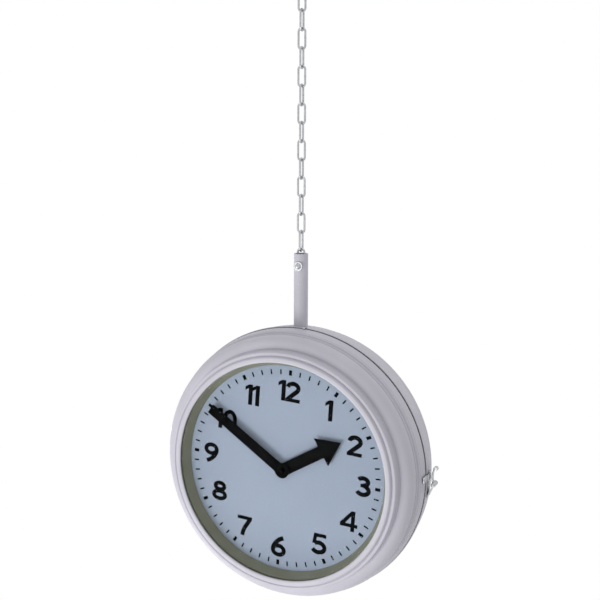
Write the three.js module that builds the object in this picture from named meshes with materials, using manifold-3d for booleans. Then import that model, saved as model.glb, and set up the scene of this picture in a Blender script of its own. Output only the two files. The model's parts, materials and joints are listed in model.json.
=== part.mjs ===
// Double sided station clock hanging on a chain.
// Millimetres, +Z up. The origin is the middle of the ceiling plate's top face, the chain and the
// suspension tube hang on the Z axis, and the front dial looks towards -Y with +X on its right.

import * as THREE from 'three';
import { mergeVertices } from 'three/addons/utils/BufferGeometryUtils.js';
import Module from 'manifold-3d';

const wasm = await Module();
wasm.setup();

// ---------------------------------------------------------------- driving dimensions

const GAP = 0.3;                    // running clearance between neighbouring pieces
const SHEET = 1.2;                  // steel sheet of the case and the small brackets

// ceiling fitting
const PLATE_R = 25;
const PLATE_THICK = 3;
const PLATE_BOSS_R = 6;
const PLATE_BOSS_DROP = 6;
const PLATE_SCREW_R = 2.2;
const PLATE_SCREW_OFFSET = 17;
const EYE_WIRE = 3;
const EYE_RING_R = 7;               // to the middle of the wire
const EYE_SHANK_R = 2.5;
const EYE_SHANK_DEPTH = 5;          // into the boss
const EYE_NECK = 1.5;

// chain
const LINK_COUNT = 15;
const LINK_WIRE = 2.3;
const LINK_WIDTH = 10.4;            // over the wire
const LINK_LENGTH = 25;             // over the wire

// suspension tube and its cross bolt
const TUBE_R = 8;
const TUBE_WALL = 1.5;
const TUBE_STAND = 82.9;            // tube above the case band
const TUBE_TAIL = 16;               // tube below the case band
const TUBE_SETBACK = 7.2;           // tube axis behind the case's mid plane
const TUBE_ABOVE_BOLT = 13.7;
const BOLT_R = 2;
const BOLT_HEAD_R = 3.35;
const BOLT_HEAD_HEIGHT = 2.2;
const WASHER_R = 5.3;
const WASHER_THICK = 0.8;
const BOLT_NUT_R = 4;
const BOLT_NUT_HEIGHT = 3.2;
const TUBE_NUT_R = 12;
const TUBE_NUT_HEIGHT = 6;
const TUBE_NUT_SAG = 0.3;           // flat nut under the curved saddle
const BRACKET_ARC = 0.5;            // radians of the band that the inner bracket follows
const BRACKET_WIDTH = 21;

// case: the mouldings step out in radius and back in depth, from the opening to the seam
const CASE_LEAN = THREE.MathUtils.degToRad(3.95);   // clockwise as seen from the front
const CASE_HALF_DEPTH = 53.6;
const OPENING_R = 124.4;
const LIP_ROUND = 0.5;
const LIP_WIDTH = 5.6;
const FACE_GROOVE_WIDTH = 2.7;
const FACE_GROOVE_DROP = 2.6;
const FACE_BEAD_WIDTH = 2.7;
const STEP_WIDTH = 1.1;
const STEP_DROP = 7.2;
const LEDGE_WIDTH = 1.8;
const LEDGE_DROP = 1.2;
const OVOLO_WIDTH = 12.3;
const OVOLO_DEPTH = 15.1;
const OVOLO_STEPS = 4;
const SMALL_GROOVE_DEPTH = 0.3;
const SMALL_BEAD_PROUD = 0.6;
const SMALL_BEAD_DROP = 2;
const SMALL_BEAD_WIDTH = 2.5;
const SECOND_BEAD_PROUD = 2.1;
const SECOND_BEAD_DROP = 2.6;
const BAND_PROUD = 1.6;
const SEAM_OUT = 6.2;               // the front half ends here
const SEAM_WIDTH = 1;
const RIM_PROUD = 1.4;              // rolled rim of the rear half
const RIM_WIDTH = 3.2;

// glass, reveal and dial
const GLASS_THICK = 2;
const GLASS_LAP = 2.6;              // glass behind the lip of the opening
const REVEAL_SET = 0.8;             // reveal inside the edge of the opening
const REVEAL_SLOPE = 5.1;           // how much narrower it is at the dial
const REVEAL_BACK_FLANGE = 3.5;
const DIAL_RECESS = 12.6;           // face of the dial behind the glass
const DIAL_LAP = 2.5;               // dial behind the reveal
const DIAL_THICK = 1;
const BACK_PLATE_THICK = 1.2;

// movement and hands: "height" is measured out from the face of the dial
const MOVEMENT_FLOOR = 2;           // plastic in front of the battery
const MOVEMENT_END_WALL = 2.55;
const MOVEMENT_LOW_WALL = 1.4;
const MOVEMENT_CORNER = 4;
const BUSH_R = 4;
const BUSH_HEIGHT = 3;
const DIAL_NUT_R = 6.5;
const DIAL_NUT_HEIGHT = 2.2;
const PIPE_R = 2.6;
const PIPE_PROUD = 0.4;             // above the hour hand
const PIPE_DEPTH = 6;
const ARBOR_R = 1.3;
const ARBOR_PROUD = 1.7;            // above the minute hand
const ARBOR_TAIL = 3;
const HAND_THICK = 0.8;
const HOUR_HAND_RISE = 1;           // above the bush
const HOUR_HAND_ANGLE = THREE.MathUtils.degToRad(55.8);
const HOUR_SHAFT_WIDTH = 14;
const HOUR_ARROW_WIDTH = 34;
const HOUR_ARROW_START = 53.5;
const HOUR_TIP = 80.5;
const HOUR_HUB_R = 8;
const MINUTE_HAND_RISE = 1.2;       // above the hour hand
const MINUTE_HAND_ANGLE = THREE.MathUtils.degToRad(300.5);
const MINUTE_WIDTH = 12;
const MINUTE_TIP_SET = 10.2;        // tip inside the edge of the dial's view
const MINUTE_HUB_R = 8.8;
const CAP_R = 3.8;
const CAP_HEIGHT = 2.6;
const KNOB_R = 6;
const KNOB_HEIGHT = 4.4;
const BATTERY_R = 7;
const BATTERY_LENGTH = 48.5;
const BATTERY_NUB_R = 2.7;
const BATTERY_NUB_LENGTH = 1.2;

// hinge on the left edge
const HINGE_LENGTH = 30;
const KNUCKLE_R = 2.6;
const KNUCKLE_SPAN = 10;            // the middle knuckle
const HINGE_PIN_R = 1.3;
const HINGE_PIN_HEAD_R = 2.2;
const KNUCKLE_CLEAR = 1.3;          // knuckle to the rolled rim
const HINGE_LEAF = 12.4;

// catch on the right edge
const LATCH_TURN = THREE.MathUtils.degToRad(-1.45);
const LATCH_PLATE_LOW = -16;
const LATCH_PLATE_HIGH = 13;
const LATCH_WIDTH = 11;
const LATCH_START = -2;             // the catch's front edge, from the mid plane
const LATCH_PIN_R = 1;
const LATCH_PIN_HEAD_R = 1.9;
const LATCH_STANDOFF = 5.7;         // pin axis outside the rolled rim
const LATCH_EYE_R = 2.7;
const LATCH_EAR = 2.4;
const KEEPER_RISE = 9;
const KEEPER_WIDTH = 7;
const KEEPER_FRONT = -17;
const KEEPER_BACK = 5;

// lug over the seam, at the top of the case
const LUG_WIDTH = 3;
const LUG_FRONT = -9;

const FINE = 48;                    // facets of the large rings
const MEDIUM = 40;
const SMALL = 16;

// ---------------------------------------------------------------- sizes that follow

const LINK_PITCH = LINK_LENGTH - 2 * LINK_WIRE - GAP;
const EYE_RING_Z = -PLATE_THICK - PLATE_BOSS_DROP - EYE_NECK - EYE_RING_R - EYE_WIRE / 2;
const EYE_SEAT_Z = EYE_RING_Z - EYE_RING_R;
const TOP_LINK_Z = EYE_SEAT_Z + EYE_WIRE / 2 + GAP - (LINK_LENGTH / 2 - LINK_WIRE);
const BOTTOM_LINK_Z = TOP_LINK_Z - (LINK_COUNT - 1) * LINK_PITCH;
const BOLT_Z = BOTTOM_LINK_Z - (LINK_LENGTH / 2 - LINK_WIRE) + GAP + BOLT_R;
const TUBE_TOP_Z = BOLT_Z + TUBE_ABOVE_BOLT;
const LIP_R = OPENING_R + LIP_WIDTH;
const FACE_GROOVE_R = LIP_R + FACE_GROOVE_WIDTH;
const FACE_GROOVE_OUT = CASE_HALF_DEPTH - FACE_GROOVE_DROP;
const FACE_BEAD_R = FACE_GROOVE_R + FACE_BEAD_WIDTH;
const STEP_R = FACE_BEAD_R + STEP_WIDTH;
const STEP_OUT = FACE_GROOVE_OUT - STEP_DROP;
const OVOLO_START_R = STEP_R + LEDGE_WIDTH;
const OVOLO_START_OUT = STEP_OUT - LEDGE_DROP;
const OVOLO_END_R = OVOLO_START_R + OVOLO_WIDTH;
const OVOLO_END_OUT = OVOLO_START_OUT - OVOLO_DEPTH;
const SMALL_BEAD_R = OVOLO_END_R + SMALL_BEAD_PROUD;
const SMALL_BEAD_OUT = OVOLO_END_OUT - SMALL_BEAD_DROP;
const SECOND_GROOVE_OUT = SMALL_BEAD_OUT - SMALL_BEAD_WIDTH;
const SECOND_BEAD_R = SMALL_BEAD_R + SECOND_BEAD_PROUD;
const SECOND_BEAD_OUT = SECOND_GROOVE_OUT - SECOND_BEAD_DROP;
const BAND_R = SECOND_BEAD_R + BAND_PROUD;
const RIM_R = BAND_R + RIM_PROUD;
const CASE_Z = TUBE_TOP_Z - TUBE_STAND - BAND_R;
const RIM_FRONT = -SEAM_OUT + SEAM_WIDTH;
const HINGE_R = RIM_R + KNUCKLE_CLEAR + KNUCKLE_R;
const HINGE_Y = -SEAM_OUT + SEAM_WIDTH / 2;
const LATCH_R = RIM_R + LATCH_STANDOFF;
const GLASS_R = OPENING_R + GLASS_LAP;
const GLASS_FRONT = CASE_HALF_DEPTH - LIP_ROUND - SHEET - GAP;
const GLASS_BACK = GLASS_FRONT - GLASS_THICK;
const REVEAL_GLASS_R = OPENING_R - REVEAL_SET;
const REVEAL_DIAL_R = REVEAL_GLASS_R - REVEAL_SLOPE;
const DIAL_OUT = GLASS_BACK - DIAL_RECESS;
const DIAL_R = REVEAL_DIAL_R + DIAL_LAP;
const HOUR_HAND_HEIGHT = BUSH_HEIGHT + HOUR_HAND_RISE;
const PIPE_HEIGHT = HOUR_HAND_HEIGHT + HAND_THICK + PIPE_PROUD;
const MINUTE_HAND_HEIGHT = HOUR_HAND_HEIGHT + HAND_THICK + MINUTE_HAND_RISE;
const ARBOR_HEIGHT = MINUTE_HAND_HEIGHT + HAND_THICK + ARBOR_PROUD;
const MINUTE_TIP = REVEAL_DIAL_R - MINUTE_TIP_SET;
const BAY_LENGTH = BATTERY_LENGTH + BATTERY_NUB_LENGTH + 4 * GAP;
const BAY_WIDTH = 2 * (BATTERY_R + 2 * GAP);
const MOVEMENT_SIDE = BAY_LENGTH + 2 * MOVEMENT_END_WALL;
const MOVEMENT_THICK = 2 * BATTERY_R + MOVEMENT_FLOOR;
const BATTERY_DROP = (MOVEMENT_SIDE - BAY_WIDTH) / 2 - MOVEMENT_LOW_WALL;
const PLATE_FRONT = -DIAL_THICK - GAP;
const MOVEMENT_FRONT = PLATE_FRONT - BACK_PLATE_THICK - GAP;
const MOVEMENT_BACK = MOVEMENT_FRONT - MOVEMENT_THICK;

// ---------------------------------------------------------------- materials

const paint = () => new THREE.MeshStandardMaterial({ color: 0xc8c6d0, roughness: 0.42, metalness: 0.35 });
const zinc = () => new THREE.MeshStandardMaterial({ color: 0xc9cacb, roughness: 0.3, metalness: 0.9 });
const steel = () => new THREE.MeshStandardMaterial({ color: 0x9a9b9e, roughness: 0.35, metalness: 0.9 });
const brass = () => new THREE.MeshStandardMaterial({ color: 0xb49a5a, roughness: 0.35, metalness: 0.9 });
const black = () => new THREE.MeshStandardMaterial({ color: 0x101012, roughness: 0.5, metalness: 0.1 });
const dialBlue = () => new THREE.MeshStandardMaterial({ color: 0xb2bccd, roughness: 0.6, metalness: 0 });
const olive = () => new THREE.MeshStandardMaterial({ color: 0x85857a, roughness: 0.5, metalness: 0.2 });
const clear = () => new THREE.MeshStandardMaterial({
  color: 0xe8f0f2, roughness: 0.03, metalness: 0, transparent: true, opacity: 0.2,
});

// ---------------------------------------------------------------- helpers

// A closed ring or disc turned about Y from a profile of [radius, y] pairs.
function turned(profile, facets) {
  const points = profile.map(([radius, y]) => new THREE.Vector2(radius, y));
  if (points[0].x > 0) points.push(points[0].clone());
  if (THREE.ShapeUtils.area(points) < 0) points.reverse();
  return new THREE.LatheGeometry(points, facets);
}

// The same turned about Z, from [radius, z] pairs.
function turnedUpright(profile, facets) {
  return turned(profile, facets).rotateX(Math.PI / 2);
}

// A plain rod along Y between two ends.
function rodAlongY(radius, from, to, facets = SMALL) {
  return new THREE.CylinderGeometry(radius, radius, to - from, facets).translate(0, (from + to) / 2, 0);
}

// A plain rod along Z between two ends.
function rodAlongZ(radius, from, to, facets = SMALL) {
  return rodAlongY(radius, from, to, facets).rotateX(Math.PI / 2);
}

// An outline drawn in X and Z, given thickness along Y between two ends.
function plateAlongY(shape, from, to) {
  const options = { depth: to - from, bevelEnabled: false, curveSegments: 10 };
  return new THREE.ExtrudeGeometry(shape, options).rotateX(Math.PI / 2).translate(0, to, 0);
}

// An outline drawn in X and Y, given thickness along Z either side of zero.
function plateAlongZ(shape, length) {
  const options = { depth: length, bevelEnabled: false, curveSegments: 10 };
  return new THREE.ExtrudeGeometry(shape, options).translate(0, 0, -length / 2);
}

// A bent strip of sheet: the outline either side of a run of [x, y] points.
function strip(run, thickness) {
  const points = run.map(([x, y]) => new THREE.Vector2(x, y));
  const sides = points.map((point, i) => {
    const before = points[Math.max(i - 1, 0)];
    const after = points[Math.min(i + 1, points.length - 1)];
    const along = after.clone().sub(before).normalize();
    return new THREE.Vector2(-along.y, along.x).multiplyScalar(thickness / 2);
  });
  const left = points.map((point, i) => point.clone().add(sides[i]));
  const right = points.map((point, i) => point.clone().sub(sides[i])).reverse();
  return new THREE.Shape([...right, ...left]);
}

// A strip that follows an arc about the case axis.
function arcStrip(inner, outer, from, to) {
  const shape = new THREE.Shape();
  shape.absarc(0, 0, outer, from, to, false);
  shape.absarc(0, 0, inner, to, from, true);
  return shape;
}

function toSolid(geometry) {
  const bare = geometry.clone();
  bare.deleteAttribute('normal');
  bare.deleteAttribute('uv');
  const merged = mergeVertices(bare, 1e-4);
  return new wasm.Manifold(new wasm.Mesh({
    numProp: 3,
    vertProperties: new Float32Array(merged.attributes.position.array),
    triVerts: new Uint32Array(merged.index.array),
  }));
}

function toGeometry(solid) {
  const mesh = solid.getMesh();
  const geometry = new THREE.BufferGeometry();
  geometry.setAttribute('position', new THREE.BufferAttribute(new Float32Array(mesh.vertProperties), 3));
  geometry.setIndex(new THREE.BufferAttribute(new Uint32Array(mesh.triVerts), 1));
  geometry.computeVertexNormals();
  return geometry;
}

function join(...geometries) {
  return toGeometry(geometries.map(toSolid).reduce((sum, solid) => sum.add(solid)));
}

function cut(geometry, ...tools) {
  return toGeometry(tools.map(toSolid).reduce((rest, tool) => rest.subtract(tool), toSolid(geometry)));
}

function piece(name, geometry, material) {
  const mesh = new THREE.Mesh(geometry, material);
  mesh.name = name;
  return mesh;
}

function group(...children) {
  const result = new THREE.Group();
  result.add(...children);
  return result;
}

// ---------------------------------------------------------------- ceiling fitting

function ceilingPlate() {
  const body = turnedUpright([
    [0, 0],
    [PLATE_R, 0],
    [PLATE_R, PLATE_THICK],
    [PLATE_BOSS_R, PLATE_THICK],
    [PLATE_BOSS_R, PLATE_THICK + PLATE_BOSS_DROP],
    [EYE_SHANK_R + GAP, PLATE_THICK + PLATE_BOSS_DROP],
    [EYE_SHANK_R + GAP, PLATE_THICK + PLATE_BOSS_DROP - EYE_SHANK_DEPTH],
    [0, PLATE_THICK + PLATE_BOSS_DROP - EYE_SHANK_DEPTH],
  ], 32).rotateX(Math.PI);
  const holes = [-1, 1].map((side) => rodAlongZ(PLATE_SCREW_R, -PLATE_THICK - 1, 1)
    .translate(side * PLATE_SCREW_OFFSET, 0, 0));
  return piece('ceiling_plate', cut(body, ...holes), zinc());
}

function ceilingEye() {
  const ring = new THREE.TorusGeometry(EYE_RING_R, EYE_WIRE / 2, 8, 18).rotateY(Math.PI / 2).translate(0, 0, EYE_RING_Z);
  const boreTop = -PLATE_THICK - PLATE_BOSS_DROP + EYE_SHANK_DEPTH;
  const shank = rodAlongZ(EYE_SHANK_R, EYE_RING_Z + EYE_RING_R, boreTop - GAP);
  return piece('ceiling_eye', join(ring, shank), zinc());
}

// ---------------------------------------------------------------- chain

// One oval link standing in the XZ plane: a ring parted at its middle height and drawn apart.
function linkGeometry() {
  const bow = (LINK_WIDTH - LINK_WIRE) / 2;
  const stations = 14;
  const ring = new THREE.TorusGeometry(bow, LINK_WIRE / 2, 8, stations).rotateZ(Math.PI / stations);
  const places = ring.attributes.position;
  const reach = (LINK_LENGTH - LINK_WIDTH) / 2;
  for (let i = 0; i < places.count; i += 1) {
    places.setY(i, places.getY(i) + Math.sign(places.getY(i)) * reach);
  }
  return ring.rotateX(Math.PI / 2);
}

function chain() {
  const links = [];
  for (let i = 0; i < LINK_COUNT; i += 1) {
    const link = piece(`chain_link_${String(i).padStart(2, '0')}`, linkGeometry(), zinc());
    link.position.z = BOTTOM_LINK_Z + i * LINK_PITCH;
    link.rotation.z = i % 2 ? Math.PI / 2 : 0;
    links.push(link);
  }
  return group(...links);
}

// ---------------------------------------------------------------- tube, bolt and bracket

function suspensionTube() {
  const bore = TUBE_R - TUBE_WALL;
  const foot = TUBE_TOP_Z - TUBE_STAND - TUBE_TAIL;
  const wall = turnedUpright([[TUBE_R, foot], [TUBE_R, TUBE_TOP_Z], [bore, TUBE_TOP_Z], [bore, foot]], 28);
  const boltHole = rodAlongY(BOLT_R + GAP, -TUBE_R - 1, TUBE_R + 1).translate(0, 0, BOLT_Z);
  return piece('suspension_tube', cut(wall, boltHole), paint());
}

function crossBolt() {
  const seat = -TUBE_R - WASHER_THICK - 2 * GAP;
  const end = TUBE_R + BOLT_NUT_HEIGHT + 2;
  const bolt = turned([
    [0, seat - BOLT_HEAD_HEIGHT],
    [BOLT_HEAD_R * 0.6, seat - BOLT_HEAD_HEIGHT * 0.8],
    [BOLT_HEAD_R * 0.92, seat - BOLT_HEAD_HEIGHT * 0.4],
    [BOLT_HEAD_R, seat],
    [BOLT_R, seat],
    [BOLT_R, end],
    [0, end],
  ], SMALL);
  return piece('cross_bolt', bolt.translate(0, 0, BOLT_Z), zinc());
}

function boltWasher() {
  const hole = BOLT_R + GAP;
  const front = -TUBE_R - GAP - WASHER_THICK;
  const ring = turned([[hole, front], [WASHER_R, front], [WASHER_R, front + WASHER_THICK],
    [hole, front + WASHER_THICK]], 20);
  return piece('cross_bolt_washer', ring.translate(0, 0, BOLT_Z), zinc());
}

function boltNut() {
  const start = TUBE_R + GAP;
  const hex = rodAlongY(BOLT_NUT_R, start, start + BOLT_NUT_HEIGHT, 6);
  const nut = cut(hex, rodAlongY(BOLT_R + GAP, start - 1, start + BOLT_NUT_HEIGHT + 1));
  return piece('cross_bolt_nut', nut.translate(0, 0, BOLT_Z), zinc());
}

// Outer radius of the saddle, which fits under the band at the saddle's rear edge.
function saddleR() {
  return roomAt(TUBE_SETBACK + BRACKET_WIDTH / 2) - GAP;
}

// Sheet saddle inside the rear band, with the tube through it.
function tubeBracket() {
  const outer = saddleR();
  const half = BRACKET_ARC / 2;
  const saddle = arcStrip(outer - SHEET, outer, Math.PI / 2 - half, Math.PI / 2 + half);
  const body = plateAlongY(saddle, -BRACKET_WIDTH / 2, BRACKET_WIDTH / 2);
  const hole = rodAlongZ(TUBE_R + GAP, outer - 10, outer + 5, 28);
  return piece('tube_bracket', cut(body, hole).translate(0, 0, CASE_Z), steel());
}

function tubeNut() {
  const top = saddleR() - SHEET - 2 * GAP - TUBE_NUT_SAG;
  const hex = rodAlongZ(TUBE_NUT_R, top - TUBE_NUT_HEIGHT, top, 6);
  const hole = rodAlongZ(TUBE_R + GAP, top - TUBE_NUT_HEIGHT - 1, top + 1, 28);
  return piece('tube_nut', cut(hex, hole).translate(0, 0, CASE_Z), steel());
}

// Small bent lug on the rolled rim that reaches over the seam.
function seamLug() {
  const low = BAND_R + GAP;
  const high = RIM_R + GAP;
  const shape = new THREE.Shape([
    new THREE.Vector2(LUG_FRONT, low),
    new THREE.Vector2(LUG_FRONT + SHEET, low),
    new THREE.Vector2(LUG_FRONT + SHEET, high),
    new THREE.Vector2(RIM_FRONT + RIM_WIDTH, high),
    new THREE.Vector2(RIM_FRONT + RIM_WIDTH, high + SHEET),
    new THREE.Vector2(LUG_FRONT, high + SHEET),
  ]);
  const body = new THREE.ExtrudeGeometry(shape, { depth: LUG_WIDTH, bevelEnabled: false });
  body.rotateX(Math.PI / 2).rotateZ(Math.PI / 2).translate(-LUG_WIDTH / 2, 0, 0);
  return piece('seam_lug', body, zinc());
}

// ---------------------------------------------------------------- case

// Outside of a case half from the opening to the band, as [radius, out] pairs.
function mouldings() {
  const outline = [
    [OPENING_R, CASE_HALF_DEPTH - LIP_ROUND],
    [OPENING_R + 3 * LIP_ROUND, CASE_HALF_DEPTH],
    [LIP_R, CASE_HALF_DEPTH],
    [FACE_GROOVE_R, FACE_GROOVE_OUT],
    [FACE_BEAD_R, FACE_GROOVE_OUT],
    [STEP_R, STEP_OUT],
  ];
  for (let i = 0; i <= OVOLO_STEPS; i += 1) {
    const turn = (i / OVOLO_STEPS) * Math.PI / 2;
    outline.push([
      OVOLO_START_R + OVOLO_WIDTH * Math.sin(turn),
      OVOLO_END_OUT + OVOLO_DEPTH * Math.cos(turn),
    ]);
  }
  outline.push(
    [OVOLO_END_R - SMALL_GROOVE_DEPTH, (OVOLO_END_OUT + SMALL_BEAD_OUT) / 2],
    [SMALL_BEAD_R, SMALL_BEAD_OUT],
    [SMALL_BEAD_R, SECOND_GROOVE_OUT],
    [SECOND_BEAD_R, SECOND_BEAD_OUT],
    [BAND_R, SEAM_OUT],
  );
  return outline;
}

// Inside of the same sheet, back from the seam to the opening, without the small beads.
function lining(outline) {
  const kept = outline.filter(([radius]) => radius <= OVOLO_END_R || radius === SECOND_BEAD_R);
  const inside = kept.map(([radius, out]) => [radius - SHEET, out - SHEET]);
  inside[0][0] = OPENING_R;
  inside.push([BAND_R - SHEET, SEAM_OUT]);
  return inside.reverse();
}

// Clear radius inside the sheet at a distance out from the mid plane, on the flats of the facets.
function roomAt(out) {
  const inside = lining(mouldings());
  const next = inside.findIndex((point) => point[1] >= out);
  const [r0, out0] = inside[next - 1];
  const [r1, out1] = inside[next];
  const radius = r0 + (r1 - r0) * (out - out0) / (out1 - out0);
  return radius * Math.cos(Math.PI / FINE);
}

function frontCase() {
  const outline = mouldings();
  const profile = [...outline, ...lining(outline)].map(([radius, out]) => [radius, -out]);
  return piece('front_case', turned(profile, FINE), paint());
}

function rearCase() {
  const outline = mouldings();
  const rim = [
    [BAND_R, RIM_FRONT + RIM_WIDTH],
    [RIM_R, RIM_FRONT + RIM_WIDTH],
    [RIM_R, RIM_FRONT],
    [BAND_R - SHEET, RIM_FRONT],
  ];
  const shell = turned([...outline, ...rim, ...lining(outline)], FINE);
  const tubeHole = rodAlongZ(TUBE_R + GAP, BAND_R - 12, BAND_R + 12, 28);
  tubeHole.translate(0, TUBE_SETBACK, 0).rotateY(-CASE_LEAN);
  return piece('rear_case', cut(shell, tubeHole), paint());
}

// ---------------------------------------------------------------- one face of the clock

function glass(side) {
  const disc = turned([[0, -GLASS_FRONT], [GLASS_R, -GLASS_FRONT], [GLASS_R, -GLASS_BACK], [0, -GLASS_BACK]], MEDIUM);
  return piece(`${side}_glass`, disc, clear());
}

function revealRing(side) {
  const front = -GLASS_BACK + GAP;
  const back = -DIAL_OUT - GAP;
  const outerFront = REVEAL_GLASS_R + SHEET;
  const outerBack = REVEAL_DIAL_R + SHEET;
  const ring = turned([
    [REVEAL_GLASS_R, front],
    [GLASS_R, front],
    [GLASS_R, front + SHEET],
    [outerFront, front + SHEET],
    [outerBack, back - SHEET],
    [REVEAL_DIAL_R + REVEAL_BACK_FLANGE, back - SHEET],
    [REVEAL_DIAL_R + REVEAL_BACK_FLANGE, back],
    [REVEAL_DIAL_R, back],
  ], MEDIUM);
  return piece(`${side}_reveal_ring`, ring, olive());
}

function drilledDisc(radius, hole, height, thickness) {
  const front = -DIAL_OUT - height;
  return turned([[hole, front], [radius, front], [radius, front + thickness], [hole, front + thickness]], MEDIUM);
}

function dial(side) {
  return piece(`${side}_dial`, drilledDisc(DIAL_R, BUSH_R + GAP, 0, DIAL_THICK), dialBlue());
}

function backPlate(side) {
  const radius = roomAt(DIAL_OUT + PLATE_FRONT) - GAP;
  const plate = drilledDisc(radius, BUSH_R + GAP, PLATE_FRONT, BACK_PLATE_THICK);
  return piece(`${side}_back_plate`, plate, steel());
}

// Plastic movement box with its threaded bush in front and an open battery bay behind.
function movement(side) {
  const half = MOVEMENT_SIDE / 2;
  const inner = half - MOVEMENT_CORNER;
  const outline = new THREE.Shape();
  outline.absarc(inner, inner, MOVEMENT_CORNER, 0, Math.PI / 2);
  outline.absarc(-inner, inner, MOVEMENT_CORNER, Math.PI / 2, Math.PI);
  outline.absarc(-inner, -inner, MOVEMENT_CORNER, Math.PI, 1.5 * Math.PI);
  outline.absarc(inner, -inner, MOVEMENT_CORNER, 1.5 * Math.PI, 2 * Math.PI);
  const options = { depth: MOVEMENT_THICK, bevelEnabled: false, curveSegments: 3 };
  const front = -DIAL_OUT - MOVEMENT_FRONT;
  const back = -DIAL_OUT - MOVEMENT_BACK;
  const box = new THREE.ExtrudeGeometry(outline, options).rotateX(Math.PI / 2).translate(0, back, 0);
  const bush = rodAlongY(BUSH_R, -DIAL_OUT - BUSH_HEIGHT, front + 2);
  const bay = new THREE.BoxGeometry(BAY_LENGTH, MOVEMENT_THICK, BAY_WIDTH);
  bay.translate(0, back + MOVEMENT_THICK / 2 - 2 * BATTERY_R - GAP, -BATTERY_DROP);
  const pipeBore = rodAlongY(PIPE_R + GAP, -DIAL_OUT - BUSH_HEIGHT - 1, -DIAL_OUT + PIPE_DEPTH + GAP);
  const arborBore = rodAlongY(ARBOR_R + GAP, front, back + 1);
  return piece(`${side}_movement`, cut(join(box, bush), bay, pipeBore, arborBore), black());
}

function battery(side) {
  const back = -DIAL_OUT - MOVEMENT_BACK;
  const half = BATTERY_LENGTH / 2;
  const cell = turned([
    [0, -half],
    [BATTERY_R, -half],
    [BATTERY_R, half],
    [BATTERY_NUB_R, half],
    [BATTERY_NUB_R, half + BATTERY_NUB_LENGTH],
    [0, half + BATTERY_NUB_LENGTH],
  ], SMALL);
  cell.translate(0, -BATTERY_NUB_LENGTH / 2, 0).rotateZ(-Math.PI / 2);
  return piece(`${side}_battery`, cell.translate(0, back - BATTERY_R, -BATTERY_DROP), steel());
}

function dialNut(side) {
  const front = -DIAL_OUT - GAP - DIAL_NUT_HEIGHT;
  const hex = rodAlongY(DIAL_NUT_R, front, front + DIAL_NUT_HEIGHT, 6);
  const hole = rodAlongY(BUSH_R + GAP, front - 1, front + DIAL_NUT_HEIGHT + 1);
  return piece(`${side}_dial_nut`, cut(hex, hole), brass());
}

function hourPipe(side) {
  const front = -DIAL_OUT - PIPE_HEIGHT;
  const back = -DIAL_OUT + PIPE_DEPTH;
  const bore = ARBOR_R + GAP;
  return piece(`${side}_hour_pipe`, turned([[bore, front], [PIPE_R, front], [PIPE_R, back], [bore, back]], SMALL), brass());
}

function minuteArbor(side) {
  const back = -DIAL_OUT - MOVEMENT_BACK + ARBOR_TAIL;
  return piece(`${side}_minute_arbor`, rodAlongY(ARBOR_R, -DIAL_OUT - ARBOR_HEIGHT, back, 12), brass());
}

// Flat hand outline with a round hub, joined to its shaft hole; it points up before it is turned.
function hand(outline, hubR, hole, height) {
  const front = -DIAL_OUT - height - HAND_THICK;
  const back = front + HAND_THICK;
  const blade = plateAlongY(new THREE.Shape(outline.map(([x, z]) => new THREE.Vector2(x, z))), front, back);
  const hub = rodAlongY(hubR, front, back, 24);
  return cut(join(blade, hub), rodAlongY(hole, front - 1, back + 1));
}

function hourHand(side) {
  const half = HOUR_SHAFT_WIDTH / 2;
  const barb = HOUR_ARROW_WIDTH / 2;
  const blade = hand([
    [half, 0], [half, HOUR_ARROW_START], [barb, HOUR_ARROW_START], [0, HOUR_TIP],
    [-barb, HOUR_ARROW_START], [-half, HOUR_ARROW_START], [-half, 0],
  ], HOUR_HUB_R, PIPE_R + GAP, HOUR_HAND_HEIGHT);
  return piece(`${side}_hour_hand`, blade.rotateY(HOUR_HAND_ANGLE), black());
}

function minuteHand(side) {
  const half = MINUTE_WIDTH / 2;
  const blade = hand([
    [half, 0], [half, MINUTE_TIP], [-half, MINUTE_TIP], [-half, 0],
  ], MINUTE_HUB_R, ARBOR_R + GAP, MINUTE_HAND_HEIGHT);
  return piece(`${side}_minute_hand`, blade.rotateY(MINUTE_HAND_ANGLE), black());
}

function capNut(side) {
  const back = -DIAL_OUT - MINUTE_HAND_HEIGHT - HAND_THICK - GAP;
  const front = back - CAP_HEIGHT;
  const bore = ARBOR_R + GAP;
  const cap = turned([
    [0, front],
    [CAP_R * 0.55, front + CAP_HEIGHT * 0.12],
    [CAP_R * 0.88, front + CAP_HEIGHT * 0.42],
    [CAP_R, back],
    [bore, back],
    [bore, -DIAL_OUT - ARBOR_HEIGHT - GAP],
    [0, -DIAL_OUT - ARBOR_HEIGHT - GAP],
  ], SMALL);
  return piece(`${side}_cap_nut`, cap, black());
}

function setKnob(side) {
  const front = -DIAL_OUT - MOVEMENT_BACK + GAP;
  const shaftEnd = -DIAL_OUT - MOVEMENT_BACK + ARBOR_TAIL + GAP;
  const bore = ARBOR_R + GAP;
  const knob = turned([
    [bore, front], [KNOB_R, front], [KNOB_R, front + KNOB_HEIGHT], [0, front + KNOB_HEIGHT],
    [0, shaftEnd], [bore, shaftEnd],
  ], SMALL);
  return piece(`${side}_set_knob`, knob, black());
}

function clockFace(side) {
  const makers = [glass, revealRing, dial, backPlate, movement, battery, dialNut, hourPipe, minuteArbor,
    hourHand, minuteHand, capNut, setKnob];
  return group(...makers.map((make) => make(side)));
}

// ---------------------------------------------------------------- hinge

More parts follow.
